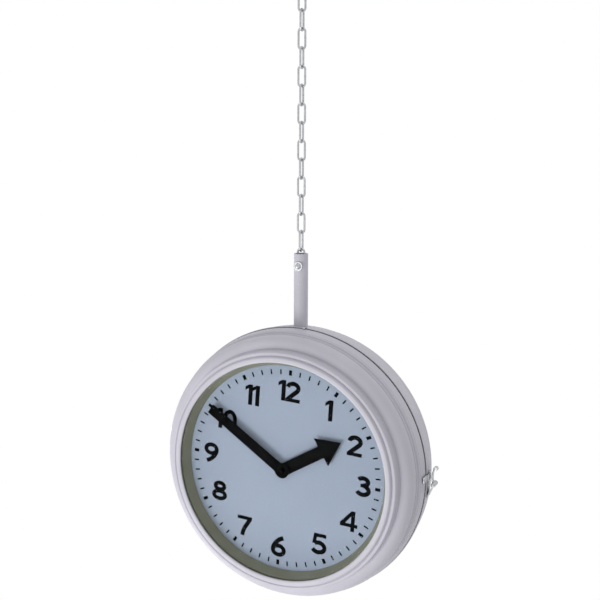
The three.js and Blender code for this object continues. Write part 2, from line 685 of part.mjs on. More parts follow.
// One leaf: plate and arm outline in X and Y from the pin axis, knuckle, and the gaps it leaves.
function hingeLeaf(name, outline, gaps) {
  const points = outline.map(([x, y]) => new THREE.Vector2(x, y));
  const plate = plateAlongZ(new THREE.Shape(points), HINGE_LENGTH);
  const knuckle = rodAlongZ(KNUCKLE_R, -HINGE_LENGTH / 2, HINGE_LENGTH / 2, 20);
  const bore = rodAlongZ(HINGE_PIN_R + GAP, -HINGE_LENGTH, HINGE_LENGTH);
  const reach = 2 * (KNUCKLE_R + GAP);
  const rooms = gaps.map(([low, high]) => new THREE.BoxGeometry(reach, reach, high - low)
    .translate(0, 0, (low + high) / 2));
  return piece(name, cut(join(plate, knuckle), bore, ...rooms), zinc());
}

function hinge() {
  const seat = HINGE_R - BAND_R - GAP;
  const face = seat - SHEET;
  const middle = KNUCKLE_SPAN / 2;
  const end = HINGE_LENGTH / 2 + 1;
  const k = KNUCKLE_R;
  const frontLeaf = hingeLeaf('hinge_leaf_front', [
    [seat, -k - 1 - HINGE_LEAF], [seat, -k - 1], [seat - 3, -0.6], [0, -k * 0.5], [0, -k + 0.1],
    [k * 0.5, -k + 0.2], [face, -k - 1.5], [face, -k - 1 - HINGE_LEAF],
  ].reverse(), [[-middle - GAP, middle + GAP]]);
  const clearRim = HINGE_R - RIM_R - GAP;
  const rimBack = RIM_FRONT + RIM_WIDTH - HINGE_Y;
  const rearLeaf = hingeLeaf('hinge_leaf_rear', [
    [seat, rimBack + 2.5 + HINGE_LEAF], [seat, rimBack + 2.5], [clearRim, rimBack + GAP],
    [clearRim - 1.6, 0.6], [0, k * 0.5], [0, k - 0.1], [k * 0.5, k - 0.1],
    [clearRim - SHEET, rimBack + GAP], [face, rimBack + 3], [face, rimBack + 2.5 + HINGE_LEAF],
  ], [[-end, -middle], [middle, end]]);
  const half = HINGE_LENGTH / 2 + GAP;
  const pin = turnedUpright([
    [0, -half - 1.5], [HINGE_PIN_HEAD_R, -half - 1], [HINGE_PIN_HEAD_R, -half], [HINGE_PIN_R, -half],
    [HINGE_PIN_R, half + 1], [0, half + 1],
  ], SMALL);
  const set = group(frontLeaf, rearLeaf, piece('hinge_pin', pin, zinc()));
  set.position.set(-HINGE_R, HINGE_Y, 0);
  return set;
}

// ---------------------------------------------------------------- catch

// Plate riveted to the rear band, with a strap that rises to two ears for the pin.
function latchBracket() {
  const low = LATCH_START;
  const high = LATCH_START + LATCH_WIDTH;
  const inner = BAND_R + GAP;
  const outer = inner + SHEET;
  const base = arcStrip(inner, outer, Math.asin(LATCH_PLATE_LOW / inner), Math.asin(LATCH_PLATE_HIGH / inner));
  const strapFoot = [outer - 0.4, LATCH_PLATE_LOW + 1];
  const strap = strip([strapFoot, [LATCH_R - 3, -LATCH_EYE_R * 2.5], [LATCH_R, 0]], SHEET);
  const ears = rodAlongY(LATCH_EYE_R, low, high).translate(LATCH_R, 0, 0);
  const bore = rodAlongY(LATCH_PIN_R + GAP, low - 1, high + 1).translate(LATCH_R, 0, 0);
  const slot = new THREE.BoxGeometry(4 * LATCH_EYE_R, LATCH_WIDTH - 2 * LATCH_EAR, 3 * LATCH_EYE_R);
  slot.translate(LATCH_R + LATCH_EYE_R * 0.6, (low + high) / 2, 0);
  const body = join(plateAlongY(base, low, high), plateAlongY(strap, low, high), ears);
  return piece('latch_bracket', cut(body, bore, slot), zinc());
}

function latchPin() {
  const low = LATCH_START - GAP;
  const high = LATCH_START + LATCH_WIDTH + GAP;
  const pin = turned([
    [0, low - 1], [LATCH_PIN_HEAD_R, low - 0.7], [LATCH_PIN_HEAD_R, low], [LATCH_PIN_R, low],
    [LATCH_PIN_R, high], [LATCH_PIN_HEAD_R, high], [LATCH_PIN_HEAD_R, high + 0.7], [0, high + 1],
  ], 12);
  return piece('latch_pin', pin.translate(LATCH_R, 0, 0), zinc());
}

// Lever from the pin up over the keeper, ending in an outward curl for a finger.
function latchLever() {
  const low = LATCH_START + LATCH_EAR + GAP;
  const high = LATCH_START + LATCH_WIDTH - LATCH_EAR - GAP;
  const run = [[LATCH_R, 0], [LATCH_R - 1.9, 3.5], [LATCH_R - 2.4, 7.5], [LATCH_R - 2.2, 12.5], [LATCH_R - 1.2, 16.5]];
  const curlR = 2.6;
  for (let i = 0; i <= 7; i += 1) {
    const turn = Math.PI - i * 0.5;
    run.push([LATCH_R + 1.6 + curlR * Math.cos(turn), 18 + curlR * Math.sin(turn)]);
  }
  const arm = plateAlongY(strip(run, SHEET), low, high);
  const eye = rodAlongY(LATCH_EYE_R, low, high).translate(LATCH_R, 0, 0);
  const bore = rodAlongY(LATCH_PIN_R + GAP, low - 1, high + 1).translate(LATCH_R, 0, 0);
  return piece('latch_lever', cut(join(arm, eye), bore), zinc());
}

// Tongue on the front half that steps over the rolled rim and lies under the lever.
function latchKeeper() {
  const seat = BAND_R + GAP + SHEET / 2;
  const over = RIM_R + 2 * GAP + SHEET / 2;
  const run = [[seat, KEEPER_FRONT], [seat, RIM_FRONT - 3.4], [over, RIM_FRONT - 1.4], [over, KEEPER_BACK]];
  const tongue = piece('latch_keeper', plateAlongZ(strip(run, SHEET), KEEPER_WIDTH), zinc());
  tongue.rotation.y = -KEEPER_RISE / RIM_R;
  return tongue;
}

function latch() {
  const set = group(latchBracket(), latchPin(), latchLever(), latchKeeper());
  set.rotation.y = LATCH_TURN;
  return set;
}

// ---------------------------------------------------------------- assembly

function caseGroup() {
  const rearFace = clockFace('rear');
  rearFace.rotation.z = Math.PI;
  const whole = group(frontCase(), rearCase(), seamLug(), clockFace('front'), rearFace, hinge(), latch());
  whole.position.set(0, -TUBE_SETBACK, CASE_Z);
  whole.rotation.y = CASE_LEAN;
  return whole;
}

const stationClock = group(
  ceilingPlate(), ceilingEye(), chain(),
  suspensionTube(), crossBolt(), boltWasher(), boltNut(), tubeBracket(), tubeNut(), caseGroup(),
);

export default stationClock;
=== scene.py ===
"""Double sided station clock on a chain: the visible surfaces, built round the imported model.

Sizes are written in millimetres and turned to metres by MM. Pieces of the case are made in the
case's own space, with its axis on Y and its middle at zero, and are then set into the model.
"""

import json
import math

import bmesh
import bpy
from mathutils import Matrix, Vector


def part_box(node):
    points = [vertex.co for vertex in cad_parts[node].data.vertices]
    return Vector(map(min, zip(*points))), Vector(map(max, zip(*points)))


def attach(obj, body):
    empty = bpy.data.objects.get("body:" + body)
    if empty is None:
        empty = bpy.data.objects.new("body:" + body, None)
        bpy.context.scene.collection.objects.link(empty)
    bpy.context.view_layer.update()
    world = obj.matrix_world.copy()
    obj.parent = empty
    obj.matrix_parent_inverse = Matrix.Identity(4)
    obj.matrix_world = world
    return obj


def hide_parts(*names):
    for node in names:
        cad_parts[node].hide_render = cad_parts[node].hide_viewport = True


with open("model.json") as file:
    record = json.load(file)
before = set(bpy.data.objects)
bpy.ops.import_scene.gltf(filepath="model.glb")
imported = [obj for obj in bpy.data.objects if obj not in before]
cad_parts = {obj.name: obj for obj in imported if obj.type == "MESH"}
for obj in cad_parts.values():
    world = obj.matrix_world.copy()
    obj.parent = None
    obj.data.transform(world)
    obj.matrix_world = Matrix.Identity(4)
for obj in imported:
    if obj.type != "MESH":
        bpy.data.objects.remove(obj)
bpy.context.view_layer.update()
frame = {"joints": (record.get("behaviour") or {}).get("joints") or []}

MM = 0.001
FULL = 2 * math.pi

# ------------------------------------------------------------------ sizes, in millimetres

SHEET = 1.2
OPENING_R = 124.4
HALF_DEPTH = 53.6
OVOLO_START = (138.3, 42.6)
OVOLO_END = (150.6, 27.5)
BAND_R = 154.9
SEAM_OUT = 6.2
SEAM_WIDTH = 1.0
SEAM_EDGE = 6.8
RIM_R = 156.0
RIM_WIDTH = 3.2
RING_STEPS = 144

GLASS_R = 127.0
GLASS_FRONT = 51.6
GLASS_BACK = 49.6
REVEAL_DIAL_R = 118.5
REVEAL_GLASS_R = 123.6
DIAL_OUT = 37.0
DIAL_R = 121.0
INK = 0.08

TICK_R = 111.2
MINUTE_TICK = (1.7, 5.6)
HOUR_TICK = (3.6, 5.9)
DIGIT_HEIGHT = 23.6
STROKE = 5.0

HAND_THICK = 0.8
HOUR_HEIGHT = 4.0
HOUR_ANGLE = 55.8
MINUTE_HEIGHT = 6.0
MINUTE_ANGLE = 300.5

LINK_WIRE = 2.3
LINK_WIDTH = 10.4
LINK_LENGTH = 25.0
LINK_COUNT = 15

TUBE_R = 8.0
TUBE_BORE = 6.5
BOLT_R = 2.0

HINGE_R = 160.2
HINGE_Y = -5.7
HINGE_LENGTH = 30.0
KNUCKLE_R = 2.6
KNUCKLE_SPAN = 10.0
LATCH_R = 162.0
LATCH_TURN = -1.45
LATCH_FROM = -2.0
LATCH_TO = 9.0
LATCH_EAR = 2.4
LATCH_PLAY = 0.3
LATCH_EYE_R = 2.65
LATCH_BORE_R = 1.3

MOVEMENT_SIDE = 56.0
MOVEMENT_FRONT = -34.2
MOVEMENT_BACK = -18.2
BATTERY_R = 7.0
BATTERY_LENGTH = 48.5
BATTERY_DROP = 19.0

# ------------------------------------------------------------------ places, from the model


def middle(node):
    low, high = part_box(node)
    return (low + high) / 2


def joint_axis(name):
    return Vector(next(joint["axis"] for joint in frame["joints"] if joint["name"] == name))


def joint_place(name):
    return Vector(next(joint["pos_m"] for joint in frame["joints"] if joint["name"] == name))


DOOR_AXIS = joint_axis("front_door_hinge")
LEAN = math.atan2(-DOOR_AXIS.x, -DOOR_AXIS.z)
GLASSES = (middle("front_glass"), middle("rear_glass"))
CASE_MIDDLE = (GLASSES[0] + GLASSES[1]) / 2
CASE = Matrix.Translation(CASE_MIDDLE) @ Matrix.Rotation(LEAN, 4, "Y")
FACES = {
    "front": CASE,
    "rear": CASE @ Matrix.Rotation(math.pi, 4, "Z"),
}
FACE_BODY = {"front": "front_door", "rear": "clock_body"}
LATCH = CASE @ Matrix.Rotation(math.radians(LATCH_TURN), 4, "Y")
BOLT_PLACE = joint_place("clock_swing")

# ------------------------------------------------------------------ materials


def srgb(code):
    """sRGB hex code to linear colour with full alpha."""
    parts = [int(code[i:i + 2], 16) / 255 for i in (1, 3, 5)]
    return tuple(c / 12.92 if c <= 0.04045 else ((c + 0.055) / 1.055) ** 2.4 for c in parts) + (1,)


def add(tree, kind, inputs=None, **settings):
    """One node with its settings; an input is a value or another node's output."""
    made = tree.nodes.new(kind)
    for key, value in settings.items():
        setattr(made, key, value)
    for name, value in (inputs or {}).items():
        if isinstance(value, bpy.types.NodeSocket):
            tree.links.new(value, made.inputs[name])
        else:
            made.inputs[name].default_value = value
    return made


def either(tree, one, other):
    """A node that is one where either of two yes or no values is one."""
    return add(tree, "ShaderNodeMath", {0: one, 1: other}, operation="MAXIMUM")


def blank(name):
    material = bpy.data.materials.new(name)
    material.use_nodes = True
    tree = material.node_tree
    tree.nodes.clear()
    place = add(tree, "ShaderNodeTexCoord").outputs["Object"]
    return material, tree, place


def close(tree, shader):
    add(tree, "ShaderNodeOutputMaterial", {"Surface": shader})


def tinted(tree, place, dark, light, patch_mm):
    """Two close colours in soft patches of a real size."""
    clouds = add(tree, "ShaderNodeTexNoise", {"Vector": place, "Scale": 1 / (patch_mm * MM), "Detail": 3.0})
    ramp = add(tree, "ShaderNodeValToRGB", {"Fac": clouds.outputs["Fac"]})
    ramp.color_ramp.elements[0].position = 0.3
    ramp.color_ramp.elements[0].color = srgb(dark)
    ramp.color_ramp.elements[1].position = 0.7
    ramp.color_ramp.elements[1].color = srgb(light)
    return ramp.outputs["Color"]


def uneven(tree, place, low, high, patch_mm):
    """A roughness that wanders between two values."""
    clouds = add(tree, "ShaderNodeTexNoise", {"Vector": place, "Scale": 1 / (patch_mm * MM), "Detail": 4.0})
    spread = add(tree, "ShaderNodeMapRange", {
        "Value": clouds.outputs["Fac"], "From Min": 0.3, "From Max": 0.7, "To Min": low, "To Max": high,
    })
    return spread.outputs["Result"]


def grain(tree, place, size_mm, height_mm, strength):
    """Fine bumps of a real width and height."""
    bumps = add(tree, "ShaderNodeTexNoise", {"Vector": place, "Scale": 1 / (size_mm * MM), "Detail": 2.0})
    relief = add(tree, "ShaderNodeBump", {
        "Strength": strength, "Distance": height_mm * MM, "Height": bumps.outputs["Fac"],
    })
    return relief.outputs["Normal"]


def silver_enamel():
    """Pressed steel sprayed with a silver-lilac enamel: soft satin sheen with a slight orange peel,
    whose 1.6 mm cells are drawn a little coarser than real so that they show."""
    material, tree, place = blank("silver_lilac_enamel")
    paint = add(tree, "ShaderNodeBsdfPrincipled", {
        "Base Color": tinted(tree, place, "#C1BFC9", "#C8C6D0", 60),
        "Roughness": uneven(tree, place, 0.44, 0.54, 14),
        "Normal": grain(tree, place, 1.6, 0.02, 0.25),
        "Specular IOR Level": 0.4,
    })
    close(tree, paint.outputs["BSDF"])
    return material


def zinc_plate():
    """Drawn steel wire and stampings with bright zinc plating: clean grey-white metal, slightly cloudy."""
    material, tree, place = blank("bright_zinc_plate")
    metal = add(tree, "ShaderNodeBsdfPrincipled", {
        "Base Color": tinted(tree, place, "#A5A6A9", "#BEBFC2", 2.5),
        "Roughness": uneven(tree, place, 0.3, 0.46, 1.5),
        "Normal": grain(tree, place, 0.5, 0.012, 0.3),
        "Metallic": 1.0,
    })
    close(tree, metal.outputs["BSDF"])
    return material


def plain_steel():
    """Cold rolled sheet inside the case: grey, with fine rolling lines along one way."""
    material, tree, place = blank("cold_rolled_steel")
    stretched = add(tree, "ShaderNodeMapping", {"Vector": place, "Scale": (1.0, 1.0, 0.04)}).outputs["Vector"]
    metal = add(tree, "ShaderNodeBsdfPrincipled", {
        "Base Color": tinted(tree, place, "#828385", "#939496", 18),
        "Roughness": uneven(tree, stretched, 0.5, 0.62, 0.8),
        "Normal": grain(tree, stretched, 0.7, 0.01, 0.3),
        "Metallic": 1.0,
    })
    close(tree, metal.outputs["BSDF"])
    return material


def turned_brass():
    """Brass turned on a lathe: warm metal with small brightness changes."""
    material, tree, place = blank("turned_brass")
    metal = add(tree, "ShaderNodeBsdfPrincipled", {
        "Base Color": tinted(tree, place, "#B2924C", "#C4A661", 1.5),
        "Roughness": uneven(tree, place, 0.22, 0.34, 0.8),
        "Metallic": 1.0,
    })
    close(tree, metal.outputs["BSDF"])
    return material


def dial_paint():
    """Dial sheet with a matt pale blue-grey print; the tone drifts a little over the disc."""
    material, tree, place = blank("matt_blue_grey_dial")
    paper = add(tree, "ShaderNodeBsdfPrincipled", {
        "Base Color": tinted(tree, place, "#A9B2C6", "#AEB7CA", 70),
        "Roughness": uneven(tree, place, 0.55, 0.65, 6),
        "Normal": grain(tree, place, 0.7, 0.01, 0.2),
        "Specular IOR Level": 0.2,
    })
    close(tree, paper.outputs["BSDF"])
    return material


def dial_ink():
    """Screen printed black ink: dense and matt."""
    material, tree, place = blank("screen_print_black")
    ink = add(tree, "ShaderNodeBsdfPrincipled", {
        "Base Color": tinted(tree, place, "#08090B", "#0E0F12", 5),
        "Roughness": uneven(tree, place, 0.45, 0.6, 2),
        "Specular IOR Level": 0.02,
    })
    close(tree, ink.outputs["BSDF"])
    return material


def hand_enamel():
    """Stamped sheet hands in matt black enamel: deep black, with almost no sheen."""
    material, tree, place = blank("matt_black_enamel")
    enamel = add(tree, "ShaderNodeBsdfPrincipled", {
        "Base Color": tinted(tree, place, "#060607", "#0A0A0C", 8),
        "Roughness": uneven(tree, place, 0.55, 0.7, 3),
        "Normal": grain(tree, place, 0.6, 0.01, 0.2),
        "Specular IOR Level": 0.02,
    })
    close(tree, enamel.outputs["BSDF"])
    return material


def reveal_enamel():
    """Olive-grey satin paint on the sloping ring between glass and dial."""
    material, tree, place = blank("olive_grey_satin")
    paint = add(tree, "ShaderNodeBsdfPrincipled", {
        "Base Color": tinted(tree, place, "#86846F", "#92907D", 25),
        "Roughness": uneven(tree, place, 0.38, 0.5, 6),
        "Normal": grain(tree, place, 1.2, 0.015, 0.25),
    })
    close(tree, paint.outputs["BSDF"])
    return material


def moulded_plastic():
    """Black moulded ABS with a fine spark-eroded texture, for the movements and knobs."""
    material, tree, place = blank("moulded_black_abs")
    plastic = add(tree, "ShaderNodeBsdfPrincipled", {
        "Base Color": tinted(tree, place, "#17181A", "#1E1F21", 10),
        "Roughness": uneven(tree, place, 0.5, 0.62, 3),
        "Normal": grain(tree, place, 0.5, 0.03, 0.4),
    })
    close(tree, plastic.outputs["BSDF"])
    return material


def battery_jacket():
    """Printed foil jacket of a plain cell: semi-gloss grey."""
    material, tree, place = blank("battery_foil")
    foil = add(tree, "ShaderNodeBsdfPrincipled", {
        "Base Color": tinted(tree, place, "#646B74", "#727982", 12),
        "Roughness": uneven(tree, place, 0.25, 0.35, 4),
        "Metallic": 0.6,
    })
    close(tree, foil.outputs["BSDF"])
    return material


def float_glass():
    """Flat 2 mm float glass: clear, lets the lamps through to the dial. Its IOR is under the real 1.5
    so that the mirrored room doesn't wash out the black print."""
    material, tree, _ = blank("clear_float_glass")
    sheet = add(tree, "ShaderNodeBsdfPrincipled", {
        "Base Color": srgb("#FCFDFD"),
        "Roughness": 0.02,
        "IOR": 1.04,
        "Transmission Weight": 1.0,
    })
    open_way = add(tree, "ShaderNodeBsdfTransparent", {"Color": srgb("#F8FAFA")})
    path = add(tree, "ShaderNodeLightPath").outputs
    lit = either(tree, path["Is Shadow Ray"], path["Is Diffuse Ray"])
    lit = add(tree, "ShaderNodeMath", {0: lit.outputs[0], 1: path["Is Glossy Ray"]}, operation="MAXIMUM")
    both = add(tree, "ShaderNodeMixShader", {"Fac": lit.outputs[0]})
    tree.links.new(sheet.outputs["BSDF"], both.inputs[1])
    tree.links.new(open_way.outputs["BSDF"], both.inputs[2])
    close(tree, both.outputs["Shader"])
    return material


ENAMEL = silver_enamel()
ZINC = zinc_plate()
STEEL = plain_steel()
BRASS = turned_brass()
DIAL = dial_paint()
INK_BLACK = dial_ink()
BLACK = hand_enamel()
OLIVE = reveal_enamel()
PLASTIC = moulded_plastic()
JACKET = battery_jacket()
GLASS = float_glass()

# ------------------------------------------------------------------ modelling helpers


def first_point(name, place):
    """A new piece in edit mode that is one selected point, ready to be drawn out."""
    bpy.ops.object.select_all(action="DESELECT")
    bpy.ops.mesh.primitive_plane_add(size=MM, location=(0, 0, 0))
    piece = bpy.context.object
    piece.name = piece.data.name = name
    bpy.ops.object.mode_set(mode="EDIT")
    bpy.ops.mesh.select_all(action="SELECT")
    bpy.ops.mesh.merge(type="CENTER")
    bpy.ops.transform.translate(value=Vector(place) * MM)
    return piece


def draw_on(places):
    """Extrudes the selected point from place to place."""
    for before, after in zip(places, places[1:]):
        step = (Vector(after) - Vector(before)) * MM
        bpy.ops.mesh.extrude_vertices_move(TRANSFORM_OT_translate={"value": step})


def tidy_mesh(threshold=0.002):
    bpy.ops.mesh.select_all(action="SELECT")
    bpy.ops.mesh.remove_doubles(threshold=threshold * MM)
    bpy.ops.mesh.normals_make_consistent(inside=False)
    bpy.ops.object.mode_set(mode="OBJECT")


def softened(corners, closed, steps=4):
    """Corners as (a, b) or (a, b, setback): a corner with a setback becomes a short curve."""
    points = []
    count = len(corners)
    for i, corner in enumerate(corners):
        here = Vector(corner[:2])
        if len(corner) < 3 or (not closed and i in (0, count - 1)):
            points.append(here)
            continue
        before = Vector(corners[i - 1][:2])
        after = Vector(corners[(i + 1) % count][:2])
        start = here + (before - here).normalized() * min(corner[2], (before - here).length * 0.49)
        end = here + (after - here).normalized() * min(corner[2], (after - here).length * 0.49)
        for k in range(steps + 1):
            t = k / steps
            points.append(start * (1 - t) ** 2 + here * 2 * t * (1 - t) + end * t * t)
    return points


def turned(name, corners, steps=RING_STEPS, axis="Y", closed=True):
    """A piece turned from (radius, height) corners about an axis through the origin."""
    points = softened(corners, closed)
    if closed:
        points.append(points[0])
    if axis == "Y":
        places = [(p[0], p[1], 0) for p in points]
    else:
        places = [(p[0], 0, p[1]) for p in points]
    piece = first_point(name, places[0])
    draw_on(places)
    bpy.ops.mesh.select_all(action="SELECT")
    spin_axis = (0, 1, 0) if axis == "Y" else (0, 0, 1)
    bpy.ops.mesh.spin(steps=steps, angle=FULL, center=(0, 0, 0), axis=spin_axis)
    tidy_mesh()
    return piece


def thick_plate(name, outline, start, end, plane="XZ", edge=0.0):
    """An outline drawn in a plane, filled and extruded; edge rounds its rim."""
    if plane == "XZ":
        places = [(p[0], start, p[1]) for p in outline]
        lift = (0, (end - start) * MM, 0)
    else:
        places = [(p[0], p[1], start) for p in outline]
        lift = (0, 0, (end - start) * MM)
    piece = first_point(name, places[0])
    draw_on(places)
    bpy.ops.mesh.select_all(action="SELECT")
    bpy.ops.mesh.edge_face_add()
    bpy.ops.mesh.extrude_region_move(TRANSFORM_OT_translate={"value": lift})
    tidy_mesh()
    if edge:
        round_edges(piece, edge)
    return piece


def round_edges(piece, width, segments=2, angle=40):
    bevel = piece.modifiers.new("edge", "BEVEL")
    bevel.width = width * MM
    bevel.segments = segments
    bevel.limit_method = "ANGLE"
    bevel.angle_limit = math.radians(angle)
    apply_modifiers(piece)


def apply_modifiers(piece):
    bpy.ops.object.select_all(action="DESELECT")
    bpy.context.view_layer.objects.active = piece
    piece.select_set(True)
    for modifier in list(piece.modifiers):
        bpy.ops.object.modifier_apply(modifier=modifier.name)


def carve(piece, *tools, operation="DIFFERENCE"):
    """Cuts tools out of a piece, or joins them to it, and removes them."""
    for tool in tools:
        step = piece.modifiers.new("carve", "BOOLEAN")
        step.operation = operation
        step.solver = "EXACT"
        step.object = tool
        apply_modifiers(piece)
        bpy.data.objects.remove(tool)
    return piece


def rod(name, radius, start, end, axis="Y", at=(0, 0), steps=32, chamfer=0.0):
    """A turned rod with softened ends along an axis, standing at a place across it."""
    ends = [(0, start), (radius, start, chamfer), (radius, end, chamfer), (0, end)]
    piece = turned(name, ends, steps, axis, closed=False)
    shift = (at[0], 0, at[1]) if axis == "Y" else (at[0], at[1], 0)
    piece.data.transform(Matrix.Translation(Vector(shift) * MM))
    return piece


def bent_strip(run, thickness):
    """Outline of a bent strip of sheet that follows a run of points."""
    left = []
    right = []
    for i, point in enumerate(run):
        before = Vector(run[max(i - 1, 0)])
        after = Vector(run[min(i + 1, len(run) - 1)])
        along = (after - before).normalized()
        side = Vector((-along.y, along.x)) * thickness / 2
        left.append(Vector(point) + side)
        right.append(Vector(point) - side)
    return right + left[::-1]


def arc(cx, cz, rx, rz, start, end, steps=14):
    """Points on an ellipse between two angles in degrees, from +X towards +Z."""
    turns = [math.radians(start + (end - start) * k / steps) for k in range(steps + 1)]
    return [(cx + rx * math.cos(t), cz + rz * math.sin(t)) for t in turns]


def placed(piece, matrix, body, slot, material, *nodes, smooth=35):
    """Sets a finished piece into the model with its material and smooth shading, hangs it on its body and
    hides the model parts it stands for.
    """
    piece.data.transform(matrix)
    piece.data.materials.clear()
    piece.data.materials.append(material)
    bpy.ops.object.select_all(action="DESELECT")
    bpy.context.view_layer.objects.active = piece
    piece.select_set(True)
    bpy.ops.object.shade_smooth_by_angle(angle=math.radians(smooth))
    flats = piece.modifiers.new("flats", "WEIGHTED_NORMAL")
    flats.keep_sharp = True
    apply_modifiers(piece)
    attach(piece, body)
    if nodes:
        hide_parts(*nodes)
    return piece


def copied(piece, name):
    twin = piece.copy()
    twin.data = piece.data.copy()
    twin.name = twin.data.name = name
    bpy.context.scene.collection.objects.link(twin)
    return twin


HERE = Matrix.Identity(4)

# ------------------------------------------------------------------ ceiling fitting


def ceiling_plate():
    plate = turned("ceiling_rose", [
        (0, 0), (25, 0, 0.4), (25, -3, 0.8), (7.2, -3, 0.8), (6, -4.4, 0.8), (6, -9, 0.5),
        (2.8, -9, 0.2), (2.8, -4), (0, -4),
    ], 96, "Z", closed=False)
    for side in (-1, 1):
        hole = turned("hole", [(0, -4), (5, -4), (2.2, -1.2), (2.2, 1), (0, 1)], 36, "Z", closed=False)
        hole.data.transform(Matrix.Translation((side * 17 * MM, 0, 0)))
        carve(plate, hole)
    placed(plate, HERE, "ceiling_fitting", "zinc_steel", ZINC, "ceiling_plate")


def ceiling_eye():
    ring_z = -19.0
    bpy.ops.object.select_all(action="DESELECT")
    bpy.ops.mesh.primitive_torus_add(
        location=(0, 0, 0), rotation=(0, math.pi / 2, 0), major_segments=64, minor_segments=20,
        major_radius=7 * MM, minor_radius=1.5 * MM)
    ring = bpy.context.object
    ring.name = ring.data.name = "eye_bolt"
    bpy.ops.object.transform_apply(rotation=True)
    ring.data.transform(Matrix.Translation((0, 0, ring_z * MM)))
    shank = rod("shank", 2.5, -12.2, -4.3, "Z", steps=40, chamfer=0.3)
    collar_run = [(0, -11.2), (3.4, -11.2, 0.5), (3.4, -9.4, 0.3), (0, -9.4)]
    collar = turned("collar", collar_run, 40, "Z", closed=False)
    carve(ring, shank, collar, operation="UNION")
    placed(ring, HERE, "ceiling_fitting", "zinc_steel", ZINC, "ceiling_eye")


# ------------------------------------------------------------------ chain


def pick_points(piece, wanted):
    """Selects the points of a piece in edit mode that a test wants."""
    mesh = bmesh.from_edit_mesh(piece.data)
    for vertex in mesh.verts:
        vertex.select_set(wanted(vertex.co / MM))
    mesh.select_flush_mode()
    bmesh.update_edit_mesh(piece.data)


def chain_link():
    """One welded oval link in the XZ plane: a ring parted at mid height and drawn apart."""
    bow = (LINK_WIDTH - LINK_WIRE) / 2
    reach = (LINK_LENGTH - LINK_WIDTH) / 2
    rings = 40
    bpy.ops.object.select_all(action="DESELECT")
    bpy.ops.mesh.primitive_torus_add(
        location=(0, 0, 0), rotation=(math.pi / 2, math.pi / rings, 0), major_segments=rings,
        minor_segments=16, major_radius=bow * MM, minor_radius=LINK_WIRE / 2 * MM)
    link = bpy.context.object
    bpy.ops.object.transform_apply(rotation=True)
    bpy.ops.object.mode_set(mode="EDIT")
    for side in (1, -1):
        pick_points(link, lambda place: place.z * side > 0)
        bpy.ops.transform.translate(value=(0, 0, side * reach * MM))
    for height in (-1.1, -0.5, 0.5, 1.1):
        bpy.ops.mesh.select_all(action="SELECT")
        bpy.ops.mesh.bisect(plane_co=(0, 0, height * MM), plane_no=(0, 0, 1))
    pick_points(link, lambda place: abs(place.z) < 0.7 and place.x > 0)
    weld = (bow * MM, 0, 0)
    bpy.ops.transform.resize(value=(1.1, 1.1, 1), center_override=weld)
    tidy_mesh()
    return link


def chain():
    pattern = chain_link()
    for i in range(LINK_COUNT):
        node = f"chain_link_{i:02d}"
        link = copied(pattern, f"link_{i:02d}")
        turn = Matrix.Rotation(math.pi / 2 * (i % 2), 4, "Z")
        stand = Matrix.Translation(middle(node)) @ turn
        placed(link, stand, f"{node}_body", "zinc_steel", ZINC, node, smooth=60)
    bpy.data.objects.remove(pattern)


# ------------------------------------------------------------------ tube and cross bolt


def suspension_tube():
    low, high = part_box("suspension_tube")
    foot = low.z / MM
    top = high.z / MM
    tube = turned("tube", [
        (TUBE_R, foot, 0.2), (TUBE_R, top, 0.35), (TUBE_BORE, top, 0.3), (TUBE_BORE, foot, 0.2),
    ], 96, "Z")
    hole = rod("hole", BOLT_R + 0.3, -TUBE_R - 2, TUBE_R + 2, "Y", (0, BOLT_PLACE.z / MM))
    carve(tube, hole)
    placed(tube, HERE, "clock_body", "case_paint", ENAMEL, "suspension_tube")


def bolt_parts():
    level = Matrix.Translation((0, 0, BOLT_PLACE.z))
    seat = -TUBE_R - 1.4
    bolt = turned("bolt", [
        (0, seat - 2.2), (1.2, seat - 2.15, 0.3), (2.6, seat - 1.5, 0.6), (3.35, seat - 0.35, 0.4),
        (3.25, seat, 0.15), (BOLT_R, seat, 0.1), (BOLT_R, 13.0, 0.3), (0, 13.2),
    ], 48, "Y", closed=False)
    placed(bolt, level, "clock_body", "zinc_steel", ZINC, "cross_bolt")
    washer = turned("bolt_washer", [
        (2.3, -9.1, 0.1), (5.25, -9.1, 0.2), (5.25, -8.32, 0.1), (2.3, -8.32, 0.1),
    ], 64)
    placed(washer, level, "clock_body", "zinc_steel", ZINC, "cross_bolt_washer")
    nut = hexagon_nut("bolt_nut", 4.0, 2.2, 8.3, 11.45)
    placed(nut, level, "clock_body", "zinc_steel", ZINC, "cross_bolt_nut")


def hexagon_nut(name, corner_r, bore, start, end, axis="Y"):
    """Six flats with both faces chamfered, and a bore."""
    flats = arc(0, 0, corner_r, corner_r, 0, 300, 5)
    plane = "XZ" if axis == "Y" else "XY"
    nut = thick_plate(name, flats, start, end, plane)
    height = end - start
    chamfer = turned("chamfer", [
        (0, start - 0.01), (corner_r * 0.9, start - 0.01), (corner_r + 0.05, start + height * 0.14),
        (corner_r + 0.05, end - height * 0.14), (corner_r * 0.9, end + 0.01), (0, end + 0.01),
    ], 64, axis, closed=False)
    carve(nut, chamfer, operation="INTERSECT")
    return carve(nut, rod("bore", bore, start - 1, end + 1, axis, steps=40))


def tube_fixings():
    """Nut that clamps the tube under the saddle inside the case."""
    low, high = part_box("tube_nut")
    nut = hexagon_nut("tube_lock_nut", 11.9, 8.3, low.z / MM + 0.05, high.z / MM - 0.05, "Z")
    nut.data.transform(Matrix.Rotation(math.pi / 6, 4, "Z"))
    placed(nut, HERE, "clock_body", "inner_steel", STEEL, "tube_nut")


# ------------------------------------------------------------------ case


